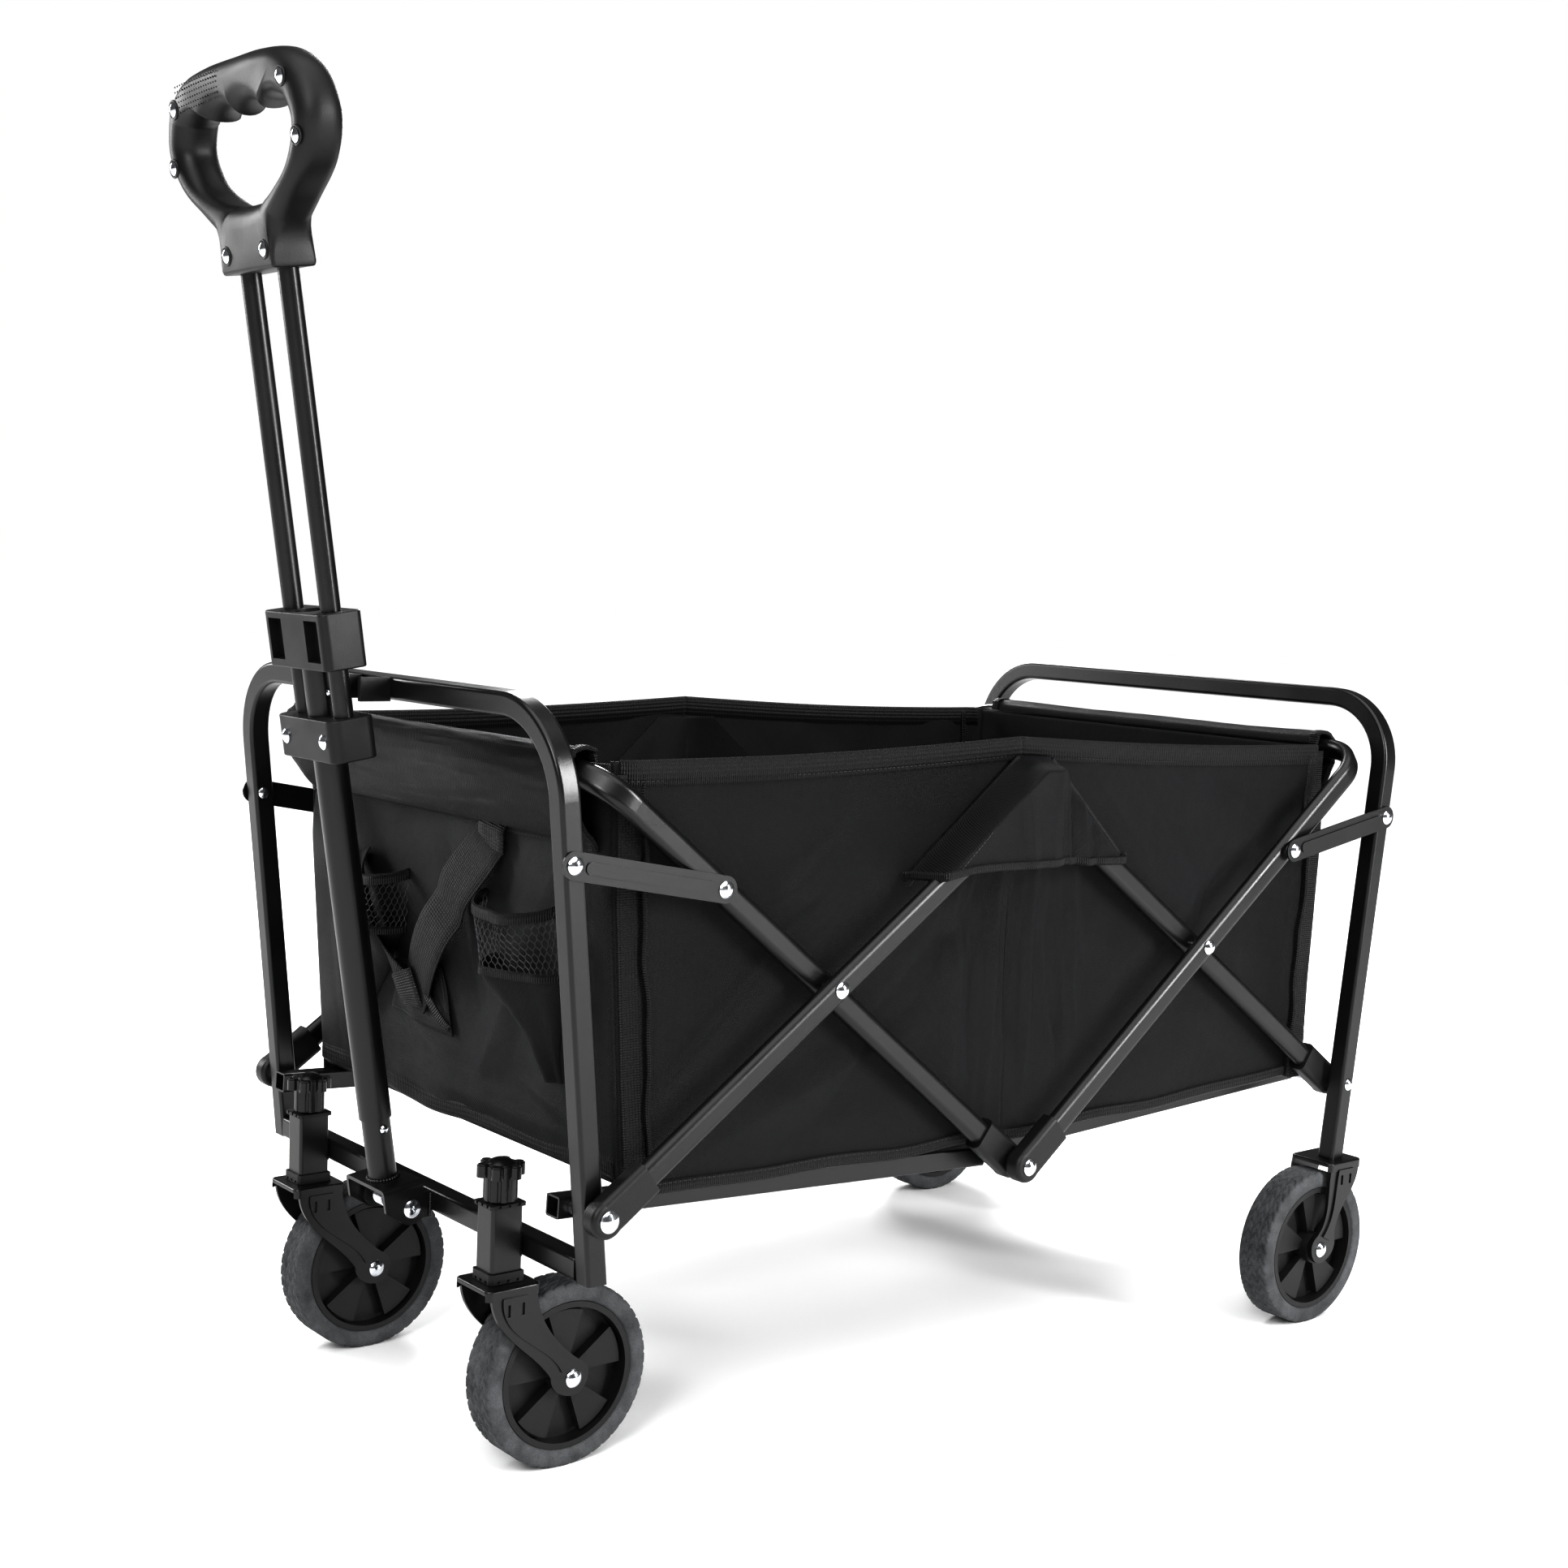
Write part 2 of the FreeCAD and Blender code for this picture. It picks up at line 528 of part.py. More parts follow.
def bow(sign, plane):
    """One tube: up one side, across the top as the basket's end rail, down the other."""
    foot = towards(MID_LOW, (sign * CROSS_Y, CROSS_Z), 12.2)
    right = V(plane, foot[0], foot[1])
    top_right = V(plane, sign * BOW_TOP_Y, BOW_TOP_Z)
    points = [right, top_right, V(-plane, top_right.y, top_right.z), V(-plane, right.y, right.z)]
    along = (top_right - right).normalize()
    normal = along.cross(V(-1, 0, 0)).normalize()
    tube = bent_tube(points, BRACE_BEND, normal, (BRACE_H, BRACE_T, BRACE_T / 2.0), BRACE_WALL)
    holes = bores(plane - BRACE_T, plane + BRACE_T, [(sign * CROSS_Y, CROSS_Z)], 2.5 + PIN_FIT)
    return tube.cut(holes).cut(mirror_x(holes))


front_bow = bow(-1, INNER_PLANE)
rear_bow = bow(1, OUTER_PLANE)
save(front_bow, "front_bow")
save(rear_bow, "rear_bow")

front_bow_caps = end_cap(MID_LOW, CROSS_FRONT, INNER_PLANE, OPEN_PIVOT_R)
rear_bow_caps = end_cap(MID_LOW, CROSS_REAR, OUTER_PLANE, BOLT_HOLE_R)
save(both_sides(front_bow_caps), "front_bow_caps")
save(both_sides(rear_bow_caps), "rear_bow_caps")
bow_bolt = rivet_x(OUTER_PLANE + CAP_T / 2.0 + 0.05, 0.0, CENTRE_LOW_Z, radius=7.0, height=3.2,
                   shank=CAP_T + 12.0, shank_r=BOLT_R)
save(both_sides(bow_bolt), "rear_bow_bolts")

# Cross tube between the two bottom-centre joints, held by the front bow's caps.
cross_tube_end = INNER_PLANE - CAP_T / 2.0
cross_tube = x_cylinder(8.0, -cross_tube_end, cross_tube_end, 0.0, CENTRE_LOW_Z)
cross_tube = cross_tube.cut(x_cylinder(6.8, -cross_tube_end - 1, cross_tube_end + 1, 0.0, CENTRE_LOW_Z))
save(cross_tube, "centre_cross_tube")


def link(leg, other, x0):
    """Flat pressed link with round ends and a raised rib along its middle."""
    a, b = side_point(x0, leg), side_point(x0, other)
    along = (b - a).normalize()
    side = X_AXIS.cross(along)
    length = (b - a).Length
    plate = Part.Face(rounded_wire((a + b) * 0.5, along, side, length + LINK_W, LINK_W, LINK_W / 2.0))
    plate = plate.extrude(V(LINK_T - LINK_RIB, 0, 0))
    rib = Part.Face(rounded_wire((a + b) * 0.5 + V(LINK_T - LINK_RIB, 0, 0), along, side,
                                 length - 18.0, LINK_W * 0.45, LINK_W * 0.22))
    rib = rib.extrude(V(LINK_RIB, 0, 0))
    hole = x_cylinder(2.5, x0 - 1, x0 + LINK_T + 2, leg[0], leg[1])
    return fuse([plate, rib]).cut(hole)


def link_far_rivet(other, x0):
    return rivet_x(x0 + LINK_T - LINK_RIB, other[0], other[1])


FRONT_LINK_X = FRONT_OUTER + LINK_GAP
REAR_LINK_X = REAR_OUTER + LINK_GAP
leg_f, bow_f = (-LINK_LEG[0], LINK_LEG[1]), (-LINK_BOW[0], LINK_BOW[1])
leg_r, bow_r = (LINK_LEG[0], LINK_LEG[1]), (LINK_BOW[0], LINK_BOW[1])
save(both_sides(link(leg_f, bow_f, FRONT_LINK_X)), "front_links")
save(both_sides(link(leg_r, bow_r, REAR_LINK_X)), "rear_links")
save(both_sides(link_far_rivet(bow_f, FRONT_LINK_X)), "front_link_rivets")
rear_spacer = x_cylinder(5.5, OUTER_PLANE + BRACE_T / 2.0 + 0.35, REAR_LINK_X - 0.02, bow_r[0], bow_r[1])
save(both_sides(group([link_far_rivet(bow_r, REAR_LINK_X), rear_spacer])), "rear_link_rivets")


# ---- floor bars ------------------------------------------------------------------

def floor_bar(sign, x):
    """Square tube that falls gently from the leg's low pivot towards the centre cross tube."""
    leg = (sign * PIVOT_Y, PIVOT_Z)
    start = side_point(x, towards(leg, MID_LOW, -FLOOR_BAR_OVERHANG))
    end = side_point(x, towards(MID_LOW, leg, FLOOR_BAR_END))
    bar = bent_tube([start, end], 1.0, X_AXIS, (FLOOR_BAR, FLOOR_BAR, 2.0), FLOOR_BAR_WALL)
    return bar.cut(x_cylinder(BOLT_HOLE_R, x - FLOOR_BAR, x + FLOOR_BAR, leg[0], leg[1]))


front_floor_bar = floor_bar(-1, FRONT_FLOOR_X)
rear_floor_bar = floor_bar(1, REAR_FLOOR_X)
save(both_sides(front_floor_bar), "front_floor_bars")
save(both_sides(rear_floor_bar), "rear_floor_bars")


# ---- wheels, forks, casters ----------------------------------------------------------

def wheel_tyre(x, y):
    """Solid tread ring with rounded shoulders."""
    half = WHEEL_W / 2.0
    ring = x_cylinder(WHEEL_R, x - half, x + half, y, WHEEL_R)
    ring = ring.makeFillet(2.5, [e for e in ring.Edges if e.Curve.TypeId == "Part::GeomCircle"])
    return ring.cut(x_cylinder(RIM_R + 0.05, x - half - 1, x + half + 1, y, WHEEL_R))


def wedge(x, y, index, half_depth, r0, r1):
    """One raised 36 degree panel of the wheel disc."""
    a0 = math.radians(360.0 / WEDGES * index)
    a1 = a0 + math.radians(180.0 / WEDGES)
    am = (a0 + a1) / 2.0

    def p(r, a):
        return V(x - half_depth, y + r * math.cos(a), WHEEL_R + r * math.sin(a))

    edges = [
        Part.makeLine(p(r0, a0), p(r1, a0)),
        Part.Arc(p(r1, a0), p(r1, am), p(r1, a1)).toShape(),
        Part.makeLine(p(r1, a1), p(r0, a1)),
        Part.Arc(p(r0, a1), p(r0, am), p(r0, a0)).toShape(),
    ]
    return Part.Face(Part.Wire(edges)).extrude(V(2 * half_depth, 0, 0))


def wheel_rim(x, y):
    """Moulded wheel: outer ring, deep web, raised wedge panels and hub."""
    half = WHEEL_W / 2.0
    ring = x_cylinder(RIM_R, x - half + 1.0, x + half - 1.0, y, WHEEL_R)
    ring = ring.cut(x_cylinder(RIM_R - 4.5, x - half - 1, x + half + 1, y, WHEEL_R))
    web = x_cylinder(RIM_R - 2.0, x - 2.0, x + 2.0, y, WHEEL_R)
    hub = x_cylinder(HUB_R, x - half - 1.5, x + half + 1.5, y, WHEEL_R)
    panels = [wedge(x, y, i, half - 5.5, 12.0, RIM_R - 7.0) for i in range(WEDGES)]
    bore = x_cylinder(AXLE_R + PIN_FIT, x - half - 4, x + half + 4, y, WHEEL_R)
    return fuse([ring, web, hub] + panels).cut(bore)


def spline_face(points, x):
    """Closed face in a plane of constant x through straight and curved outline runs."""
    edges = []
    for run in points:
        vectors = [V(x, y, z) for y, z in run]
        if len(vectors) == 2:
            edges.append(Part.makeLine(vectors[0], vectors[1]))
        else:
            curve = Part.BSplineCurve()
            curve.interpolate(vectors)
            edges.append(curve.toShape())
    return Part.Face(Part.Wire(edges))


def fork_leg(x, stem_y, wheel_y, side):
    """Pressed leg that sweeps from the top plate to the axle, with a raised middle."""
    s = 1.0 if wheel_y > stem_y else -1.0
    top = FORK_TOP_Z - FORK_SHEET

    def yz(dy, z):
        return (stem_y + s * dy, z)

    reach = abs(wheel_y - stem_y)
    front_run = [yz(-19, top), yz(-15, top - 18), yz(reach * 0.12, top - 44), yz(reach - 20, WHEEL_R + 4)]
    nose_run = [yz(reach - 20, WHEEL_R + 4), yz(reach - 9, WHEEL_R - 11), yz(reach + 5, WHEEL_R - 11.5),
                yz(reach + 13, WHEEL_R + 1), yz(reach + 6, WHEEL_R + 13)]
    back_run = [yz(reach + 6, WHEEL_R + 13), yz(reach * 0.62 + 6, WHEEL_R + 31), yz(22, top - 16), yz(20, top)]
    outline = [front_run, nose_run, back_run, [yz(20, top), yz(-19, top)]]
    x_in = x + side * FORK_GAP
    leg = spline_face(outline, x_in).extrude(V(side * FORK_SHEET, 0, 0))

    rib_front = [yz(-10, top - 4), yz(-7, top - 20), yz(reach * 0.12 + 8, top - 42),
                 yz(reach - 11, WHEEL_R + 7)]
    rib_back = [yz(reach - 1, WHEEL_R + 12), yz(reach * 0.62 - 1, WHEEL_R + 31), yz(13, top - 19),
                yz(11, top - 4)]
    rib_outline = [rib_front, [rib_front[-1], rib_back[0]], rib_back, [rib_back[-1], rib_front[0]]]
    rib = spline_face(rib_outline, x_in + side * (FORK_SHEET - 0.2)).extrude(V(side * 1.8, 0, 0))
    notches = []
    for dy in (-5.5, 6.5):
        corner = V(x_in + side * (FORK_SHEET + 1.2) - 1.1, stem_y + s * dy - 1.5, top - 18)
        notches.append(Part.makeBox(2.2, 3.0, 9.0, corner))
    leg = fuse([leg, rib]).cut(group(notches))
    return leg


def fork(x, stem_y, wheel_y, stem_top):
    """Top plate with rolled-down edges, two swept legs and, on a caster, the stem."""
    z0 = FORK_TOP_Z - FORK_SHEET
    plate = Part.Face(rounded_wire(V(x, stem_y, z0), X_AXIS, Y_AXIS, PLATE_X, PLATE_Y, 5.0))
    plate = plate.extrude(V(0, 0, FORK_SHEET))
    plate = plate.makeFillet(1.6, [e for e in plate.Edges if abs(e.CenterOfMass.z - FORK_TOP_Z) < 0.01])
    skirt = tube_face(V(x, stem_y, z0 - 5.0), X_AXIS, Y_AXIS, (PLATE_X, PLATE_Y, 5.0), 1.5)
    skirt = skirt.extrude(V(0, 0, 5.5))
    wheel_room = Part.makeBox(2 * FORK_GAP, 90, 20, V(x - FORK_GAP, stem_y - 45, z0 - 20.5))
    skirt = skirt.cut(wheel_room)
    parts = [plate, skirt, fork_leg(x, stem_y, wheel_y, 1), fork_leg(x, stem_y, wheel_y, -1)]
    if stem_top > 0:
        parts.append(Part.makeCylinder(STEM_R, stem_top - FORK_TOP_Z + 1.0, V(x, stem_y, FORK_TOP_Z - 1.0)))
    body = fuse(parts)
    # round wheel room so that the tyre clears the skirt
    body = body.cut(x_cylinder(WHEEL_R + 2.0, x - FORK_GAP, x + FORK_GAP, wheel_y, WHEEL_R))
    return body.cut(x_cylinder(AXLE_R, x - 40, x + 40, wheel_y, WHEEL_R))


def axle(x, y):
    """Axle pin with a domed cap on each fork leg."""
    face = FORK_GAP + FORK_SHEET + 0.02
    pin = x_cylinder(AXLE_R - 0.02, x - face - 1, x + face + 1, y, WHEEL_R)
    right_cap = rivet_x(x + face, y, WHEEL_R, radius=7.0, height=3.2)
    left_cap = right_cap.mirror(V(x, 0, 0), X_AXIS)
    return fuse([pin, right_cap, left_cap])


def knob(x, y):
    """Star knob: six lobes over a grooved round body, with a polished domed top."""
    z0, z1 = KNOB_Z
    body = Part.makeCylinder(12.5, z1 - z0 - 12.0, V(x, y, z0))
    grooves = []
    for i in range(KNOB_GROOVES):
        a = 2 * math.pi * i / KNOB_GROOVES
        foot = V(x + 13.0 * math.cos(a), y + 13.0 * math.sin(a), z0 - 1)
        grooves.append(Part.makeCylinder(1.6, z1 - z0, foot))
    body = body.cut(group(grooves))
    slabs = []
    for base, height, shrink in ((z1 - 13.5, 8.5, 0.0), (z1 - 5.5, 1.5, 0.9)):
        slabs.append(Part.makeCylinder(13.0 - shrink, height, V(x, y, base)))
        for i in range(KNOB_LOBES):
            a = 2 * math.pi * i / KNOB_LOBES + 0.3
            lobe = V(x + 13.5 * math.cos(a), y + 13.5 * math.sin(a), base)
            slabs.append(Part.makeCylinder(4.6 - shrink, height, lobe))
    head = fuse(slabs)
    cap = dome(10.5, 4.0, V(x, y, z1 - 4.0), Z_AXIS)
    whole = fuse([body, head, cap])
    return whole.cut(Part.makeCylinder(STEM_R + PIN_FIT, 14.0, V(x, y, z0 - 1.0)))


stem_top = KNOB_Z[0] + 11.0
for label, side in (("right", 1), ("left", -1)):
    x = side * FRONT_WHEEL_X
    save(fork(x, SLEEVE_Y, FRONT_WHEEL_Y, stem_top), "caster_fork_" + label)
    save(axle(x, FRONT_WHEEL_Y), "caster_axle_" + label)
    save(wheel_tyre(x, FRONT_WHEEL_Y), "front_tyre_" + label)
    save(wheel_rim(x, FRONT_WHEEL_Y), "front_rim_" + label)
    save(knob(x, SLEEVE_Y), "caster_knob_" + label)
    rear_x = side * REAR_WHEEL_X
    save(wheel_tyre(rear_x, REAR_WHEEL_Y), "rear_tyre_" + label)
    save(wheel_rim(rear_x, REAR_WHEEL_Y), "rear_rim_" + label)

rear_foot_y = leg_y(REAR_FOOT_Z)
rear_fork = fork(REAR_WHEEL_X, rear_foot_y, REAR_WHEEL_Y, 0)
save(both_sides(rear_fork), "rear_forks")
save(both_sides(axle(REAR_WHEEL_X, REAR_WHEEL_Y)), "rear_axles")


# ---- pull handle, built upright about its own axis and then leaned -----------------

def placed(shape):
    """From the handle's own frame (t upwards) to its leaning place."""
    out = shape.copy()
    out.translate(V(0, HANDLE_Y, HANDLE_Z))
    out.rotate(V(0, HANDLE_Y, HANDLE_Z), X_AXIS, HANDLE_LEAN)
    return out


def top_corners(box, half_x, z):
    """The two long top edges of a box that is centred on X."""
    edges = []
    for edge in box.Edges:
        middle = edge.CenterOfMass
        if abs(middle.z - z) < 0.01 and abs(abs(middle.x) - half_x) < 0.01:
            edges.append(edge)
    return edges


def bracket():
    """Inverted channel of bent sheet with the pole stub welded on it."""
    y0, y1 = BRACKET_Y
    sheet = Part.makeBox(2 * CHEEK_X[1], y1 - y0, PLATE_T[1] + 22.0, V(-CHEEK_X[1], y0, -22.0))
    sheet = sheet.makeFillet(4.0, top_corners(sheet, CHEEK_X[1], PLATE_T[1]))
    room = Part.makeBox(2 * CHEEK_X[0], y1 - y0 + 2, PLATE_T[0] + 30.0, V(-CHEEK_X[0], y0 - 1, -30.0))
    room = room.makeFillet(1.5, top_corners(room, CHEEK_X[0], PLATE_T[0]))
    sheet = sheet.cut(room)
    cheeks = []
    for side in (1, -1):
        x0 = side * (CHEEK_X[0] + CHEEK_X[1]) / 2.0 - FORK_SHEET / 2.0
        outline = [V(x0, y0, -21.5), V(x0, y1, -21.5), V(x0, y1, PIN_LOCAL_T + 4.0),
                   V(x0, PIN_LOCAL_Y + 6.0, PIN_LOCAL_T - 11.4), V(x0, PIN_LOCAL_Y - 6.0, PIN_LOCAL_T - 11.4),
                   V(x0, y0, PIN_LOCAL_T + 2.0), V(x0, y0, -21.5)]
        cheek = Part.Face(Part.makePolygon(outline)).extrude(V(CHEEK_X[1] - CHEEK_X[0], 0, 0))
        boss = x_cylinder(13.0, x0, x0 + CHEEK_X[1] - CHEEK_X[0], PIN_LOCAL_Y, PIN_LOCAL_T)
        cheeks.append(fuse([cheek, boss]))
    stub = Part.makeCylinder(STUB_R, POLE_SEAM + 40.0 - PLATE_T[1] + 1.0, V(0, 0, PLATE_T[1] - 1.0))
    stub = stub.cut(Part.makeCylinder(STUB_R - POLE_WALL, 200.0, V(0, 0, PLATE_T[1])))
    seam = []
    for i in range(SEAM_BEADS):
        a = 2 * math.pi * i / SEAM_BEADS
        place = V((STUB_R + 0.5) * math.cos(a), (STUB_R + 0.5) * math.sin(a), PLATE_T[1] + 0.5)
        seam.append(Part.makeSphere(1.7, place))
    body = fuse([sheet, stub] + cheeks + seam)
    body = body.cut(x_cylinder(PIN_R + PIN_FIT, -40, 40, PIN_LOCAL_Y, PIN_LOCAL_T))
    return body.cut(x_cylinder(BUTTON_R + 0.2, 0, 20, 0.0, BUTTON_T))


save(placed(bracket()), "handle_bracket")


def screw_head(x, side):
    """Pan head with a cross recess, seen from outside the bracket."""
    head = fuse([x_cylinder(7.2, x, x + 1.6, PIN_LOCAL_Y, PIN_LOCAL_T),
                 dome(7.2, 2.6, V(x + 1.6, PIN_LOCAL_Y, PIN_LOCAL_T), X_AXIS)])
    recess = []
    for dy, dz in ((6.0, 1.3), (1.3, 6.0)):
        recess.append(Part.makeBox(3.0, dy, dz, V(x + 2.4, PIN_LOCAL_Y - dy / 2.0, PIN_LOCAL_T - dz / 2.0)))
    head = head.cut(group(recess))
    return head if side > 0 else mirror_x(head)


pin = x_cylinder(PIN_R, -CHEEK_X[1] - 1.5, CHEEK_X[1] + 1.5, PIN_LOCAL_Y, PIN_LOCAL_T)
pivot_pin = fuse([pin, screw_head(CHEEK_X[1] + 0.05, 1), screw_head(CHEEK_X[1] + 0.05, -1)])
save(placed(pivot_pin), "handle_pivot_pin")


def torsion_spring(x0, side):
    """Close-wound coil on the pivot pin with one short leg up under the plate."""
    rings = []
    for i in range(SPRING_TURNS):
        centre = V(x0 + side * i * SPRING_PITCH, PIN_LOCAL_Y, PIN_LOCAL_T)
        rings.append(Part.makeTorus(SPRING_COIL_R, SPRING_WIRE_R + 0.15, centre, X_AXIS))
    leg_foot = V(x0 + side * (SPRING_TURNS - 1) * SPRING_PITCH, PIN_LOCAL_Y + SPRING_COIL_R, PIN_LOCAL_T)
    leg = Part.makeCylinder(SPRING_WIRE_R, PLATE_T[0] - PIN_LOCAL_T - 0.6, leg_foot, Z_AXIS)
    return fuse(rings + [leg])


springs = group([torsion_spring(5.0, 1), torsion_spring(-5.0, -1)])
save(placed(springs), "handle_springs")

pole = Part.makeCylinder(POLE_R, POLE_TOP - POLE_SEAM, V(0, 0, POLE_SEAM))
pole = pole.cut(Part.makeCylinder(POLE_R - POLE_WALL - 0.25, POLE_TOP, V(0, 0, POLE_SEAM - 1)))
pole = pole.cut(x_cylinder(BUTTON_R + 0.2, 0, 20, 0.0, POLE_BUTTON_T))
save(placed(pole), "handle_pole")


def collar(t0, t1, half_x, half_y, corner):
    section = Part.Face(rounded_wire(V(0, 0, t0), X_AXIS, Y_AXIS, 2 * half_x, 2 * half_y, corner))
    body = section.extrude(V(0, 0, t1 - t0))
    rims = [e for e in body.Edges if min(abs(e.CenterOfMass.z - t0), abs(e.CenterOfMass.z - t1)) < 0.01]
    return body.makeFillet(1.2, rims)


def vertical_bores(t0, t1, centre_r, thin_r):
    cuts = [Part.makeCylinder(thin_r, t1 - t0 + 4, V(x, 0, t0 - 2)) for x in (-THIN_X, THIN_X)]
    cuts.append(Part.makeCylinder(centre_r, t1 - t0 + 4, V(0, 0, t0 - 2)))
    return group(cuts)


upper = collar(TOP_COLLAR[0], TOP_COLLAR[1], 46.0, 17.0, 6.0)
cap_plug = Part.makeCylinder(POLE_R + 0.5, 3.0, V(0, 0, POLE_TOP + 0.05))
windows = []
for side in (1, -1):
    for face in (1, -1):
        y0 = 9.5 if face > 0 else -18.5
        windows.append(Part.makeBox(20.0, 9.0, 30.0, V(side * 28.0 - 10.0, y0, TOP_COLLAR[0] + 6.0)))
bore_low = vertical_bores(TOP_COLLAR[0], TOP_COLLAR[1], POLE_R + 0.02, THIN_R + THIN_FIT)
upper = upper.cut(bore_low).cut(group(windows))
upper = fuse([upper, cap_plug])
thin_room = Part.makeCylinder(THIN_R + THIN_FIT, 80, V(THIN_X, 0, TOP_COLLAR[0] - 20))
upper = upper.cut(both_sides(thin_room))
save(placed(upper), "pole_upper_collar")


def snap_button(t):
    """Spring button: a domed pin that stands out of its hole."""
    stem = x_cylinder(BUTTON_R, POLE_R - 4.5, POLE_R + 1.2, 0.0, t)
    tip = dome(BUTTON_R, 2.0, V(POLE_R + 1.2, 0.0, t), X_AXIS)
    return fuse([stem, tip])


save(placed(moved(snap_button(BUTTON_T), V(STUB_R - POLE_R, 0, 0))), "stub_button")
save(placed(snap_button(POLE_BUTTON_T)), "pole_button")

# Sliding part: thin tubes, lower collar, grip.
thin = Part.makeCylinder(THIN_R, NECK_T + 22.0 - LOW_COLLAR[0] - 3.0, V(THIN_X, 0, LOW_COLLAR[0] + 3.0))
thin = thin.cut(Part.makeCylinder(THIN_R - 1.2, 500.0, V(THIN_X, 0, LOW_COLLAR[0])))
save(placed(both_sides(thin)), "handle_thin_tubes")

lower = collar(LOW_COLLAR[0], LOW_COLLAR[1], 44.0, LOW_COLLAR_HALF_Y, 9.0)
lower = lower.cut(Part.makeCylinder(POLE_R + THIN_FIT, 60, V(0, 0, LOW_COLLAR[0] - 5)))
lower = lower.cut(both_sides(Part.makeCylinder(THIN_R + 0.02, 60, V(THIN_X, 0, LOW_COLLAR[0] + 3.0))))
save(placed(lower), "handle_lower_collar")


def mirrored_run(points):
    """A left-right symmetric closed list from the points of one half."""
    other = [(-x, t) for x, t in reversed(points) if abs(x) > 0.01]
    return points + other


def grip():
    """Closed loop grip: a wide D with finger scallops under its top bar and a flat neck."""
    outer_points = mirrored_run(GRIP_OUTER)
    vectors = [V(x, -GRIP_DEPTH / 2.0, t) for x, t in outer_points]
    top = Part.BSplineCurve()
    top.interpolate(vectors)
    closing = Part.makeLine(vectors[-1], vectors[0])
    outer = Part.Wire([top.toShape(), closing])
    inner_points = GRIP_INNER + [(-x, t) for x, t in reversed(GRIP_INNER[1:-1])]
    inner_curve = Part.BSplineCurve()
    inner_curve.interpolate([V(x, -GRIP_DEPTH / 2.0, t) for x, t in inner_points], PeriodicFlag=True)
    inner = Part.Wire([inner_curve.toShape()])
    body = Part.Face(outer).extrude(V(0, GRIP_DEPTH, 0))
    hole = Part.Face(inner).extrude(V(0, GRIP_DEPTH, 0))
    body = body.cut(hole)
    hole_width = 2.0 * max(x for x, t in GRIP_INNER)
    for radius, outside in ((GRIP_OUTER_ROUND, True), (GRIP_INNER_ROUND, False)):
        rim = [e for e in body.Edges
               if abs(abs(e.CenterOfMass.y) - GRIP_DEPTH / 2.0) < 0.01
               and e.CenterOfMass.z > NECK_T + 2.0
               and (e.BoundBox.XLength > hole_width + 2.0) == outside]
        body = body.makeFillet(radius, rim)
    sockets = [Part.makeCylinder(THIN_R + 0.02, 24.0, V(x, 0, NECK_T - 2.0)) for x in (-THIN_X, THIN_X)]
    return body.cut(group(sockets))


save(placed(grip()), "handle_grip")


def y_rivet(x, y, t, radius):
    """Domed head facing -Y on a face at y."""
    front = V(0, -1, 0)
    return fuse([Part.makeCylinder(radius, 0.8, V(x, y, t), front), dome(radius, 2.2, V(x, y - 0.8, t), front)])


low_mid = (LOW_COLLAR[0] + LOW_COLLAR[1]) / 2.0
rivets = [y_rivet(x, -GRIP_DEPTH / 2.0 - 0.02, t, 5.0) for x, t in GRIP_RIVETS]
rivets.append(y_rivet(THIN_X, -LOW_COLLAR_HALF_Y - 0.02, low_mid, 5.4))
save(placed(both_sides(group(rivets))), "handle_rivets")


# ---- fabric basket (plain solids of the sewn panels) -----------------------------------

def end_panel(sign):
    """Slightly sloping end wall between the bow and the floor."""
    x = WALL_END_X
    top = sign * BASKET_TOP_Y
    foot = sign * BASKET_LOW_Y[sign]
    outline = [
        V(-x, top, WALL_TOP_Z),
        V(-x, foot, BASKET_LOW_Z),
        V(-x, foot - sign * CLOTH, BASKET_LOW_Z),
        V(-x, top - sign * CLOTH, WALL_TOP_Z),
        V(-x, top, WALL_TOP_Z),
    ]
    return Part.Face(Part.makePolygon(outline)).extrude(V(2 * x, 0, 0))


def side_panel(sign):
    """Half of a long side wall, from the end wall to the middle."""
    x = BASKET_HALF_X - CLOTH
    outline = [
        V(x, sign * SIDE_TOP_Y, BASKET_TOP_Z - 10),
        V(x, sign * (BASKET_LOW_Y[sign] - 1), BASKET_LOW_Z - 2),
        V(x, sign * MIDDLE_GAP, BASKET_LOW_Z - 2),
        V(x, sign * MIDDLE_GAP, BASKET_TOP_Z + 6),
        V(x, sign * SIDE_TOP_Y, BASKET_TOP_Z - 10),
    ]
    return Part.Face(Part.makePolygon(outline)).extrude(V(CLOTH, 0, 0))


def floor_panel(sign):
    """Half of the stiffened floor mat that lies on the floor bars."""
    y0 = MIDDLE_GAP
    y1 = BASKET_LOW_Y[sign] - CLOTH - 0.5
    half_x = BASKET_HALF_X - CLOTH - 0.5
    corner_y = y0 if sign > 0 else -y1
    return Part.makeBox(2 * half_x, y1 - y0, MAT_T, V(-half_x, corner_y, BASKET_LOW_Z))


save(end_panel(-1), "basket_front_wall")
save(end_panel(1), "basket_rear_wall")
save(both_sides(side_panel(-1)), "basket_front_sides")
save(both_sides(side_panel(1)), "basket_rear_sides")
save(floor_panel(-1), "basket_front_floor")
save(floor_panel(1), "basket_rear_floor")


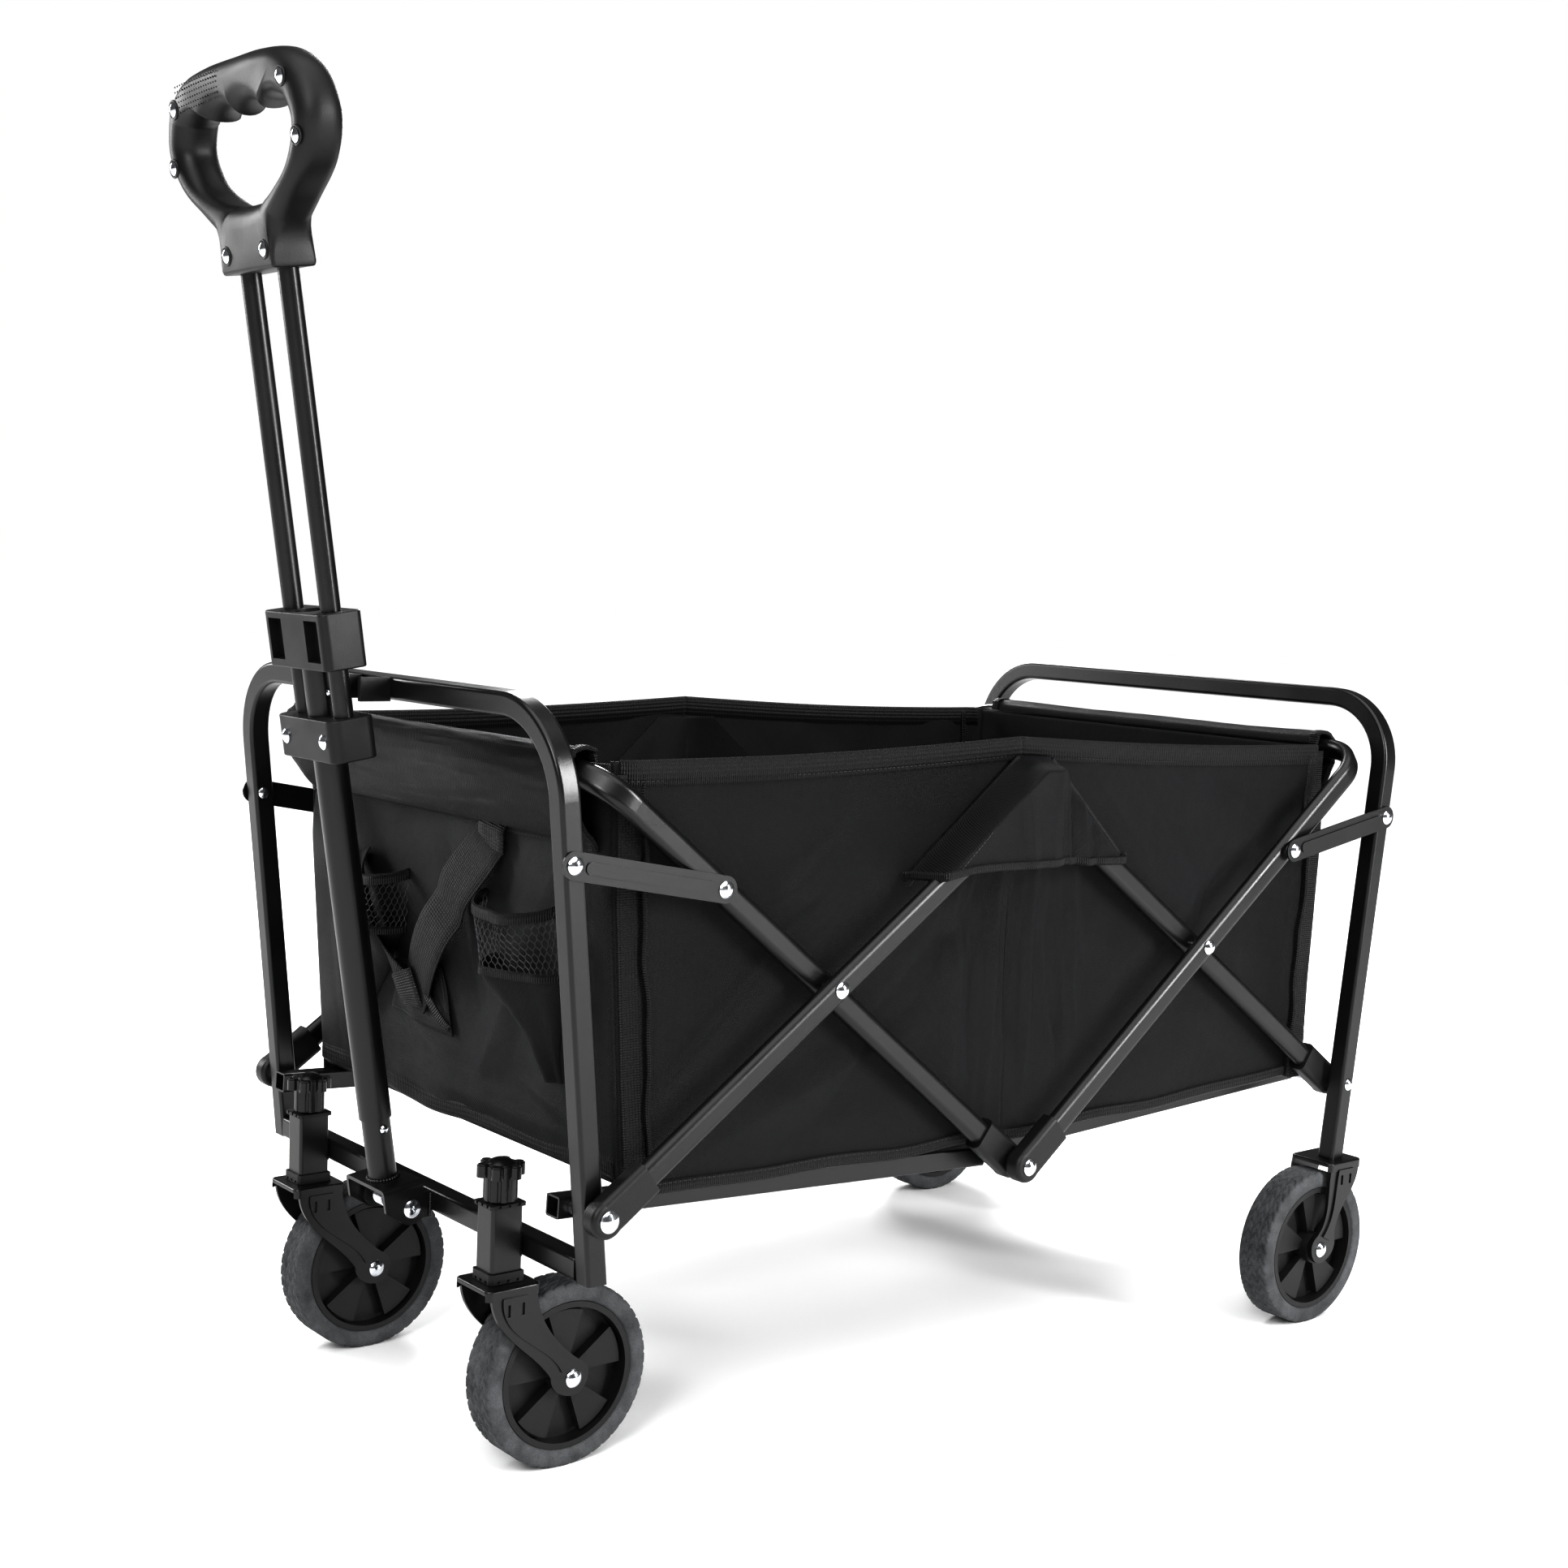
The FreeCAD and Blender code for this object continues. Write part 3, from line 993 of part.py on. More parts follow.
def cup_pocket(x):
    """Half-round mesh pocket with a closed bottom, sewn on the front wall."""
    z0, z1 = POCKET_Z
    slope = (BASKET_TOP_Y - BASKET_LOW_Y[-1]) / (WALL_TOP_Z - BASKET_LOW_Z)
    back = -BASKET_LOW_Y[-1] - (z1 - BASKET_LOW_Z) * slope - 0.6
    outer = Part.makeCylinder(POCKET_R, z1 - z0, V(x, back, z0))
    inner = Part.makeCylinder(POCKET_R - 2.5, z1 - z0, V(x, back, z0 + 2.5))
    shell = outer.cut(inner)
    keep = Part.makeBox(200, 100, 300, V(x - 100, back - 100, z0 - 50))
    back_wall = Part.makeBox(2 * POCKET_R, 2.0, z1 - z0, V(x - POCKET_R, back - 2.0, z0))
    return fuse([shell.common(keep), back_wall])


save(group([cup_pocket(POCKET_X), cup_pocket(-POCKET_X)]), "cup_pockets")
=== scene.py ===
import json
import math

import bmesh
import bpy
from mathutils import Matrix, Vector, noise


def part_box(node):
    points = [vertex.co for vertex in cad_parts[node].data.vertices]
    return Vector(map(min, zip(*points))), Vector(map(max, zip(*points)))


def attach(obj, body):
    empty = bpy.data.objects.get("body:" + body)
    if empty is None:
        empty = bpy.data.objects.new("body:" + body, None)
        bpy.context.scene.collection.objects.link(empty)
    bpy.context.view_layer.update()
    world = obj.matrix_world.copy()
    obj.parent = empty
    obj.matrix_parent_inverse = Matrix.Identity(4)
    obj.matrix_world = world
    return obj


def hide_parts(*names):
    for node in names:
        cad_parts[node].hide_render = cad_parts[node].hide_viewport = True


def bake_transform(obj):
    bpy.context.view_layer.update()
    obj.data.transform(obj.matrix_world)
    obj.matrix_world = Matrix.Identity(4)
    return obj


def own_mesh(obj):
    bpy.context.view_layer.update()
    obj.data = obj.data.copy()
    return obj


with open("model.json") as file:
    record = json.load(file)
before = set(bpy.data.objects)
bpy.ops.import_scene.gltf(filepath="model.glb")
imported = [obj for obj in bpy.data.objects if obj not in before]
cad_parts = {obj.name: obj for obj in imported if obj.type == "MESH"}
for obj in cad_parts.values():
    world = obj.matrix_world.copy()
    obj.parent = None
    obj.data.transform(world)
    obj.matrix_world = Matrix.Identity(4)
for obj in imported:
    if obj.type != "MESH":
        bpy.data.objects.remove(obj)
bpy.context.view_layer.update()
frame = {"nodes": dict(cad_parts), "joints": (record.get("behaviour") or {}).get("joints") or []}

MM = 0.001
NODES = frame["nodes"]
Z = Vector((0.0, 0.0, 1.0))
SIDE_WORD = {1: "right", -1: "left"}
END_WORD = {-1: "front", 1: "rear"}


# ---- places read from the frame ----------------------------------------------------

def low(node):
    return Vector(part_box(node)[0])


def high(node):
    return Vector(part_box(node)[1])


def joint_at(name):
    """Pivot of a joint, in the row frame."""
    for joint in frame["joints"]:
        if joint["name"] == name:
            return Vector(joint["pos_m"])
    raise ValueError(name)


MID_Y = joint_at("rear_brace_turn").y           # plane of the two centre joints
WALL_X = high("basket_front_sides").x           # outer face of the long walls
FRONT_TOP_Y = low("basket_front_wall").y        # outer face of the front wall, top
FRONT_LOW_Y = FRONT_TOP_Y + 19 * MM             # the end walls lean out towards the top
REAR_TOP_Y = high("basket_rear_wall").y
REAR_LOW_Y = REAR_TOP_Y - 7 * MM
FLOOR_Z = low("basket_front_wall").z            # underside of the floor mat
EDGE_MID_Z = 541 * MM                           # top edge of a long wall at its middle
CLOTH = 1.0 * MM                                # thickness of the cloth
BINDING_W = 17 * MM                             # folded webbing on the edges


# ---- material helpers -----------------------------------------------------------------

class Nodes:
    """Small helper that builds a material's node tree."""

    def __init__(self, name):
        self.material = bpy.data.materials.new(name)
        self.material.use_nodes = True
        self.tree = self.material.node_tree
        self.shader = self.tree.nodes["Principled BSDF"]

    def add(self, kind, **values):
        node = self.tree.nodes.new(kind)
        for key, value in values.items():
            if key in node.inputs:
                node.inputs[key].default_value = value
            else:
                setattr(node, key, value)
        return node

    def link(self, source, target):
        self.tree.links.new(source, target)

    def coordinates(self, kind="Object"):
        return self.add("ShaderNodeTexCoord").outputs[kind]

    def noise(self, vector, scale, detail=3.0, roughness=0.5):
        node = self.add("ShaderNodeTexNoise", Scale=scale, Detail=detail, Roughness=roughness)
        self.link(vector, node.inputs["Vector"])
        return node.outputs["Fac"]

    def math(self, operation, a, b=None):
        node = self.add("ShaderNodeMath", operation=operation)
        for socket, value in zip(node.inputs, (a, b)):
            if value is None:
                continue
            if isinstance(value, (int, float)):
                socket.default_value = value
            else:
                self.link(value, socket)
        return node.outputs[0]

    def ramp(self, factor, stops):
        node = self.add("ShaderNodeValToRGB")
        elements = node.color_ramp.elements
        while len(elements) < len(stops):
            elements.new(0.5)
        for element, (position, value) in zip(elements, stops):
            element.position = position
            element.color = value if len(value) == 4 else (*value, 1.0)
        self.link(factor, node.inputs["Fac"])
        return node.outputs["Color"]

    def grey(self, factor, low_value, high_value, start=0.3, end=0.7):
        stops = [(start, (low_value,) * 3), (end, (high_value,) * 3)]
        return self.ramp(factor, stops)

    def bump(self, height, strength, distance, normal=None):
        node = self.add("ShaderNodeBump", Strength=strength, Distance=distance)
        self.link(height, node.inputs["Height"])
        if normal is not None:
            self.link(normal, node.inputs["Normal"])
        return node.outputs["Normal"]

    def finish(self, color=None, roughness=None, normal=None, **values):
        for socket, source in (("Base Color", color), ("Roughness", roughness), ("Normal", normal)):
            if source is None:
                continue
            if isinstance(source, (int, float)):
                self.shader.inputs[socket].default_value = source
            elif isinstance(source, tuple):
                self.shader.inputs[socket].default_value = (*source, 1.0)
            else:
                self.link(source, self.shader.inputs[socket])
        for key, value in values.items():
            self.shader.inputs[key].default_value = value
        return self.material


def powder_coat():
    """Satin black powder coat: orange-peel skin, rubbed a little lighter in places."""
    n = Nodes("powder_coat")
    place = n.coordinates()
    cloudy = n.noise(place, 14.0, 4.0)
    skin = n.noise(place, 1400.0, 2.0)
    ripple = n.noise(place, 260.0, 2.0)
    color = n.ramp(cloudy, [(0.35, (0.0035, 0.0035, 0.0038)), (0.75, (0.0060, 0.0060, 0.0064))])
    rough = n.grey(cloudy, 0.27, 0.37)
    normal = n.bump(skin, 0.10, 0.0003, n.bump(ripple, 0.06, 0.0008))
    return n.finish(color, rough, normal, **{"Specular IOR Level": 0.5})


def moulded_plastic(name, shade, rough_low, rough_high, grain):
    """Moulded black plastic with a fine grain and slight flow marks."""
    n = Nodes(name)
    place = n.coordinates()
    flow = n.noise(place, 22.0, 5.0)
    fine = n.noise(place, grain, 2.0)
    color = n.ramp(flow, [(0.3, (shade, shade, shade * 1.04)),
                          (0.75, (shade * 1.5, shade * 1.5, shade * 1.58))])
    normal = n.bump(fine, 0.22, 0.0004)
    return n.finish(color, n.grey(flow, rough_low, rough_high), normal, **{"Specular IOR Level": 0.42})


def chrome():
    """Bright zinc or chrome plate with faint polishing haze."""
    n = Nodes("chrome_plate")
    place = n.coordinates()
    haze = n.noise(place, 380.0, 3.0)
    color = n.ramp(haze, [(0.3, (0.62, 0.64, 0.67)), (0.7, (0.80, 0.82, 0.85))])
    return n.finish(color, n.grey(haze, 0.10, 0.24), n.bump(haze, 0.05, 0.0003), Metallic=1.0)


def tyre_rubber():
    """Grey-black tread compound, dusty on its raised blocks."""
    n = Nodes("tyre_rubber")
    place = n.coordinates()
    dust = n.noise(place, 55.0, 6.0, 0.6)
    speck = n.noise(place, 900.0, 2.0)
    mixed = n.math("MULTIPLY", dust, n.math("ADD", 0.6, n.math("MULTIPLY", speck, 0.8)))
    color = n.ramp(mixed, [(0.30, (0.030, 0.031, 0.033)), (0.68, (0.085, 0.088, 0.092))])
    rough = n.grey(dust, 0.62, 0.82)
    return n.finish(color, rough, n.bump(speck, 0.35, 0.0005), **{"Specular IOR Level": 0.35})


def weave(n, pitch):
    """Height of a plain weave on the UV map, which is in metres."""
    place = n.coordinates("UV")
    split = n.add("ShaderNodeSeparateXYZ")
    n.link(place, split.inputs[0])
    turns = 2.0 * math.pi / pitch
    across = n.math("SINE", n.math("MULTIPLY", split.outputs[0], turns))
    along = n.math("SINE", n.math("MULTIPLY", split.outputs[1], turns))
    return n.math("MULTIPLY", across, along)


def oxford(name, pitch=1.7 * MM, shade=0.0026, sheen=0.015):
    """Black coated polyester: visible plain weave, blue-grey sheen, uneven rub."""
    n = Nodes(name)
    place = n.coordinates()
    cloud = n.noise(place, 9.0, 5.0, 0.6)
    slub = n.noise(place, 420.0, 3.0)
    threads = weave(n, pitch)
    color = n.ramp(n.math("ADD", cloud, n.math("MULTIPLY", threads, 0.10)),
                   [(0.30, (shade * 0.75, shade * 0.75, shade * 0.85)),
                    (0.78, (shade * 1.7, shade * 1.75, shade * 2.1))])
    rough = n.grey(n.math("ADD", cloud, n.math("MULTIPLY", slub, 0.25)), 0.38, 0.52)
    crumple = n.bump(n.noise(place, 30.0, 6.0, 0.55), 0.30, 0.005)
    normal = n.bump(threads, 0.60, 0.0005, crumple)
    return n.finish(color, rough, normal, **{"Specular IOR Level": 0.28, "Sheen Weight": sheen,
                                             "Sheen Roughness": 0.4, "Sheen Tint": (0.75, 0.8, 1.0, 1.0)})


def webbing(name, shade=0.0040):
    """Ribbed polyester tape with cross ribs along its length (V runs along the tape)."""
    n = Nodes(name)
    split = n.add("ShaderNodeSeparateXYZ")
    n.link(n.coordinates("UV"), split.inputs[0])
    ribs = n.math("SINE", n.math("MULTIPLY", split.outputs[1], 2.0 * math.pi / (1.9 * MM)))
    cords = n.math("SINE", n.math("MULTIPLY", split.outputs[0], 2.0 * math.pi / (2.6 * MM)))
    height = n.math("ADD", ribs, n.math("MULTIPLY", cords, 0.5))
    fuzz = n.noise(n.coordinates(), 700.0, 3.0)
    color = n.ramp(n.math("ADD", n.math("MULTIPLY", height, 0.16), fuzz),
                   [(0.25, (shade * 0.6,) * 3), (0.8, (shade * 2.2, shade * 2.2, shade * 2.4))])
    normal = n.bump(height, 0.8, 0.0006, n.bump(fuzz, 0.2, 0.0005))
    return n.finish(color, 0.5, normal, **{"Specular IOR Level": 0.35, "Sheen Weight": 0.02,
                                           "Sheen Roughness": 0.5})


def thread():
    n = Nodes("sewing_thread")
    twist = n.noise(n.coordinates(), 2500.0, 2.0)
    color = n.ramp(twist, [(0.3, (0.012, 0.012, 0.013)), (0.7, (0.040, 0.040, 0.044))])
    return n.finish(color, 0.5, n.bump(twist, 0.3, 0.0002))


MAT = {
    "paint": powder_coat(),
    "chrome": chrome(),
    "plastic": moulded_plastic("black_plastic", 0.0045, 0.38, 0.52, 1500.0),
    "soft_plastic": moulded_plastic("grip_plastic", 0.0045, 0.40, 0.54, 900.0),
    "gloss": moulded_plastic("gloss_plastic", 0.004, 0.16, 0.26, 1800.0),
    "disc": moulded_plastic("wheel_plastic", 0.0055, 0.42, 0.58, 700.0),
    "tyre": tyre_rubber(),
    "cloth": oxford("oxford_cloth"),
    "lining": oxford("oxford_lining", 1.7 * MM, 0.0022, 0.01),
    "tape": webbing("edge_tape"),
    "strap": webbing("pull_strap", 0.0042),
    "net": webbing("pocket_net", 0.030),
    "thread": thread(),
}


def paint_nodes():
    """Gives every carried-over CAD node its finish."""
    rules = [
        ("tyre", "tyre"), ("_rim_", "disc"), ("basket", "cloth"), ("pockets", "cloth"),
        ("rivets", "chrome"), ("bolts", "chrome"), ("axle", "chrome"), ("spring", "chrome"),
        ("pin", "chrome"), ("button", "chrome"), ("handle_grip", "soft_plastic"), ("knob", "gloss"),
        ("collar", "plastic"), ("caps", "plastic"), ("bush", "plastic"),
    ]
    for name, obj in NODES.items():
        key = "paint"
        for word, choice in rules:
            if word in name:
                key = choice
                break
        obj.data.materials.clear()
        obj.data.materials.append(MAT[key])


paint_nodes()


# ---- mesh helpers ------------------------------------------------------------------------

def mesh_object(name, verts, faces, material, uvs=None, smooth=True):
    mesh = bpy.data.meshes.new(name)
    mesh.from_pydata([tuple(v) for v in verts], [], faces)
    if uvs is not None:
        layer = mesh.uv_layers.new(name="UVMap")
        for loop in mesh.loops:
            layer.data[loop.index].uv = uvs[loop.vertex_index]
    for polygon in mesh.polygons:
        polygon.use_smooth = smooth
    mesh.materials.append(material)
    mesh.update()
    obj = bpy.data.objects.new(name, mesh)
    bpy.context.scene.collection.objects.link(obj)
    return obj


def strip_faces(rows, columns):
    """Four-sided faces of an open sheet, row by row."""
    stride = columns + 1
    faces = []
    for j in range(rows):
        for i in range(columns):
            a = j * stride + i
            faces.append((a, a + 1, a + stride + 1, a + stride))
    return faces


def ring_faces(rings, stride):
    """Four-sided faces of a closed tube whose rings have stride points each."""
    faces = []
    for k in range(rings):
        here, there = k * stride, ((k + 1) % rings) * stride
        for i in range(stride):
            j = (i + 1) % stride
            faces.append((here + i, here + j, there + j, there + i))
    return faces


def grid(name, columns, rows, point, size, material):
    """Sheet of columns x rows cells. point(u, v) gives a place, size is (width, length) for the UVs."""
    verts, uvs = [], []
    for j in range(rows + 1):
        for i in range(columns + 1):
            u, v = i / columns, j / rows
            verts.append(point(u, v))
            uvs.append((u * size[0], v * size[1]))
    return mesh_object(name, verts, strip_faces(rows, columns), material, uvs)


def thicken(obj, thickness, offset=0.0):
    modifier = obj.modifiers.new("thickness", "SOLIDIFY")
    modifier.thickness = thickness
    modifier.offset = offset
    return obj


def apply_modifiers(obj):
    """Bakes the modifiers into the mesh."""
    bpy.context.view_layer.update()
    depsgraph = bpy.context.evaluated_depsgraph_get()
    mesh = bpy.data.meshes.new_from_object(obj.evaluated_get(depsgraph))
    obj.modifiers.clear()
    obj.data = mesh
    return obj


def ribbon(name, path, width, material, thickness):
    """Tape along a path: path gives (place, unit direction across) pairs."""
    columns = 4
    length = 0.0
    rows = len(path) - 1
    for (a, _), (b, _) in zip(path[:-1], path[1:]):
        length += (b - a).length

    def point(u, v):
        index = int(round(v * rows))
        place, across = path[index]
        return place + across * (width * (u - 0.5))

    obj = grid(name, columns, rows, point, (width, length), material)
    return thicken(obj, thickness)


def stitches(name, places, material, length=3.2 * MM, width=0.7 * MM):
    """Row of sewn stitches: places gives (place, direction, outward) at even steps."""
    verts, faces = [], []
    for place, direction, outward in places:
        side = direction.cross(outward).normalized() * (width / 2.0)
        half = direction * (length / 2.0)
        rise = outward * (0.35 * MM)
        base = len(verts)
        verts += [place - half - side * 0.4, place - half + side * 0.4,
                  place - half * 0.5 + side + rise, place + half * 0.5 + side + rise,
                  place + half + side * 0.4, place + half - side * 0.4,
                  place + half * 0.5 - side + rise, place - half * 0.5 - side + rise]
        faces.append(tuple(base + i for i in (0, 1, 2, 3, 4, 5, 6, 7)))
    return mesh_object(name, verts, faces, material, smooth=False)


def ridge(y, z, a, b, width, height):
    """Soft crease along the segment a-b in the plane of a wall."""
    dy, dz = b[0] - a[0], b[1] - a[1]
    length2 = dy * dy + dz * dz
    t = max(0.0, min(1.0, ((y - a[0]) * dy + (z - a[1]) * dz) / length2))
    distance = math.hypot(y - a[0] - t * dy, z - a[1] - t * dz)
    fade = math.sin(math.pi * min(1.0, max(0.0, t * 0.9 + 0.05)))
    return CREASE_GAIN * height * fade * max(0.0, 1.0 - distance / width) ** 1.25


def ripples(place, scale, height, seed=0.0):
    return height * noise.noise(Vector((place.x, place.y, place.z)) * scale + Vector((seed, seed, seed)))


# ---- basket: outline shared by the long walls and the end walls -------------------------

EDGE_TOP = {-1: 531 * MM, 1: 527 * MM}      # top edge at the front and rear corners
LOW_EDGE = 213 * MM                         # low edge of a long wall at its middle
HEM_RISE = {-1: 7 * MM, 1: 13 * MM}         # and how much higher it is at the corners
END_FOOT = 234 * MM                         # low edge of an end wall at its corners
MOST_INWARD = 6.0 * MM                      # slack cloth never hangs further in than this
CREASE_GAIN = 1.5
SIDE_CREASES = [
    # (y, z) of both ends in mm, y from the middle plane, then half width and height in mm
    ((-80, 540), (-372, 262), 34, 5.5),
    ((-95, 500), (-250, 420), 20, 3.0),
    ((-352, 300), (-150, 470), 24, -4.0),
    ((-330, 235), (-60, 330), 26, 3.5),
    ((-200, 250), (-20, 430), 22, -3.5),
    ((-62, 470), (-58, 235), 13, 3.0),
    ((-34, 450), (-40, 250), 9, -3.6),
    ((-12, 470), (-20, 225), 10, 4.0),
    ((8, 450), (2, 300), 8, -4.2),
    ((26, 460), (24, 240), 9, 3.8),
    ((46, 430), (66, 250), 11, -3.4),
    ((70, 450), (84, 300), 12, 2.8),
    ((62, 535), (330, 262), 36, 5.0),
    ((120, 300), (372, 470), 30, -4.5),
    ((150, 520), (380, 400), 26, 4.0),
    ((230, 300), (330, 236), 22, 3.5),
    ((-374, 480), (-360, 250), 12, 3.0),
    ((372, 480), (360, 250), 12, 3.0),
]
END_CREASES = [
    ((-150, 470), (-40, 280), 26, 4.0),
    ((170, 470), (30, 262), 28, 4.5),
    ((-80, 262), (160, 250), 16, 4.5),
    ((-190, 440), (-170, 250), 18, 3.5),
    ((200, 440), (180, 250), 16, -3.5),
    ((0, 450), (40, 320), 20, -3.5),
    ((-60, 300), (10, 262), 16, 3.0),
    ((100, 280), (190, 262), 14, 3.0),
]


SLACK = 2.6 * MM             # the cloth hangs this far inside its seams


def smooth_step(t):
    t = max(0.0, min(1.0, t))
    return t * t * (3.0 - 2.0 * t)


def corner_radius(z):
    """The basket's corners are sharp at the floor and round inside the bows' bends."""
    return (7 + 21 * smooth_step((z - 0.42) / 0.08)) * MM


def end_face(end, z):
    """Outer face of an end wall at height z."""
    t = (z - FLOOR_Z) / (0.51 - FLOOR_Z)
    foot, top = (FRONT_LOW_Y, FRONT_TOP_Y) if end < 0 else (REAR_LOW_Y, REAR_TOP_Y)
    return foot + (top - foot) * t


def edge_height(y):
    """Top edge of a long wall: highest over the middle joint, slack between."""
    t = min(1.0, abs(y - MID_Y) / (REAR_TOP_Y - MID_Y))
    end_z = EDGE_TOP[-1] if y < MID_Y else EDGE_TOP[1]
    return EDGE_MID_Z + (end_z - EDGE_MID_Z) * t - 3.5 * MM * math.sin(math.pi * t)


def hem_height(y):
    t = min(1.0, abs(y - MID_Y) / (REAR_TOP_Y - MID_Y))
    rise = HEM_RISE[-1 if y < MID_Y else 1] * t ** 1.6
    return LOW_EDGE + rise + 2.2 * MM * math.sin(41.0 * y + 0.6) * (1.0 - t)


def wall_offset(side, y, z):
    """How far the slack cloth stands out of its plane (+) or in (-)."""
    total = 0.0
    for a, b, width, height in SIDE_CREASES:
        start = (MID_Y + a[0] * MM, a[1] * MM)
        stop = (MID_Y + b[0] * MM, b[1] * MM)
        total += ridge(y, z, start, stop, width * MM, height * MM)
    place = Vector((side * 3.0, y, z))
    total += ripples(place, 9.0, 4.0 * MM, side * 3.1) - SLACK
    total += ripples(place, 24.0, 2.0 * MM, side * 7.7)
    share = (z - LOW_EDGE) / (EDGE_MID_Z - LOW_EDGE)
    calm = min(1.0, 0.15 + 3.0 * share, 0.12 + 5.0 * (1.0 - share))
    return max(-MOST_INWARD, soft_limit(total * calm, 2.2 * MM))


def soft_limit(value, limit):
    """The value, eased off so that it never passes the limit."""
    if value < 0.0:
        return value
    return limit * (1.0 - math.exp(-value / limit))


def end_offset(end, x, z):
    total = 0.0
    for a, b, width, height in END_CREASES:
        start = (a[0] * MM, a[1] * MM)
        stop = (b[0] * MM, b[1] * MM)
        total += ridge(x, z, start, stop, width * MM, height * MM)
    place = Vector((x, end * 2.0, z))
    total += ripples(place, 9.0, 4.0 * MM, end * 5.3) - SLACK
    total += ripples(place, 24.0, 1.8 * MM, end * 9.1)
    calm = min(1.0, 4.0 * (WALL_X - abs(x)) / WALL_X + 0.1)
    return max(-MOST_INWARD, soft_limit(total * calm, 2.5 * MM))


def side_place(side, end, share, z, out=0.0):
    """On a long wall: share 0 is the middle, 1 is the seam halfway round the corner."""
    r = corner_radius(z)
    face = end_face(end, z)
    straight = abs(face - MID_Y) - r
    s = share * (straight + r * math.pi / 4.0)
    if s <= straight:
        y = MID_Y + end * s
        x = WALL_X - 1.2 * MM + wall_offset(side, y, z) * min(1.0, (straight - s) / 0.03 + 0.15) + out
        return Vector((side * x, y, z))
    a = (s - straight) / r
    x = WALL_X - 1.2 * MM - r * (1.0 - math.cos(a)) + out * math.cos(a)
    y = face - end * (r * (1.0 - math.sin(a)) - out * math.sin(a))
    return Vector((side * x, y, z))


def end_place(end, share, z, out=0.0):
    """On an end wall: share -1 is the left corner seam, +1 the right one."""
    r = corner_radius(z)
    side = 1.0 if share >= 0 else -1.0
    half = WALL_X - 1.2 * MM - r
    s = abs(share) * (half + r * math.pi / 4.0)
    face = end_face(end, z)
    if s <= half:
        x = side * s
        depth = end_offset(end, x, z) * min(1.0, (half - s) / 0.03 + 0.1) + out
        return Vector((x, face + end * depth, z))
    a = (s - half) / r
    x = half + r * math.sin(a) + out * math.sin(a)
    return Vector((side * x, face - end * (r * (1.0 - math.cos(a)) - out * math.cos(a)), z))


def body_at(end):
    return "basket_" + END_WORD[end]


def wall_word(side, end):
    return SIDE_WORD[side] + "_" + END_WORD[end]


def sew(obj, end):
    """Attaches a piece of the basket's cloth to the body of one end."""
    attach(obj, body_at(end))


def gather(obj, end):
    """Bakes the piece's modifiers and rides the end wall's body."""
    apply_modifiers(obj)
    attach(obj, body_at(end))
    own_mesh(obj)
    return obj


def long_wall(side, end):
    length = abs(end_face(end, 0.4) - MID_Y)

    def point(u, v):
        y = MID_Y + end * length * u
        z = hem_height(y) + (edge_height(y) - hem_height(y)) * v
        return side_place(side, end, u, z)

    obj = grid("side_wall_" + wall_word(side, end), 150, 110, point, (length, 0.32), MAT["cloth"])
    thicken(obj, CLOTH)
    if side > 0:
        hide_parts(body_at(end) + "_sides")
    gather(obj, end)


def folded_tape(name, spine, depth, material):
    """Webbing folded over an edge. spine gives (place on the edge, down, out) at each step."""
    profile = [(1.25, 1.0), (1.55, 0.5), (1.4, 0.08), (0.0, -0.06), (-1.4, 0.08), (-1.55, 0.5), (-1.25, 1.0)]
    verts, uvs = [], []
    run = 0.0
    for i, (place, down, out) in enumerate(spine):
        if i:
            run += (place - spine[i - 1][0]).length
        for k, (aside, share) in enumerate(profile):
            verts.append(place + down * (depth * share) + out * (aside * MM))
            uvs.append((k * depth / 3.0, run))
    faces = strip_faces(len(spine) - 1, len(profile) - 1)
    return thicken(mesh_object(name, verts, faces, material, uvs), 0.5 * MM)


def stitch_row(name, places, outward, step=4.4 * MM):
    """Even stitches along a polyline of places, seen from the outward direction."""
    rows, run = [], 0.0
    for a, b in zip(places[:-1], places[1:]):
        length = (b - a).length
        direction = (b - a).normalized()
        while run < length:
            place = a + direction * run
            rows.append((place, direction, outward))
            run += step
        run -= length
    obj = stitches(name, rows, MAT["thread"])
    return obj


def long_wall_trim(side, end):
    """Edge tapes along the top and the bottom of a long wall, with their stitching."""
    label = wall_word(side, end)
    out = Vector((side, 0, 0))
    steps = 90
    edges = (("top", edge_height, -1.0, BINDING_W), ("low", hem_height, 1.0, 9 * MM))
    for word, height, down, depth in edges:
        spine, sewn = [], []
        for i in range(steps + 1):
            share = 0.985 * i / steps
            y = MID_Y + (end_face(end, 0.5) - MID_Y) * share
            z = height(y)
            spine.append((side_place(side, end, share, z), Vector((0, 0, down)), out))
            sewn.append(side_place(side, end, share, z + down * depth * 0.8, 1.9 * MM))
        tape = folded_tape(word + "_tape_" + label, spine, depth, MAT["tape"])
        gather(tape, end)
        gather(stitch_row(word + "_stitches_" + label, sewn, out), end)


SEAM_LOW, SEAM_HIGH = 224, 524      # heights of the corner seams' ends, mm


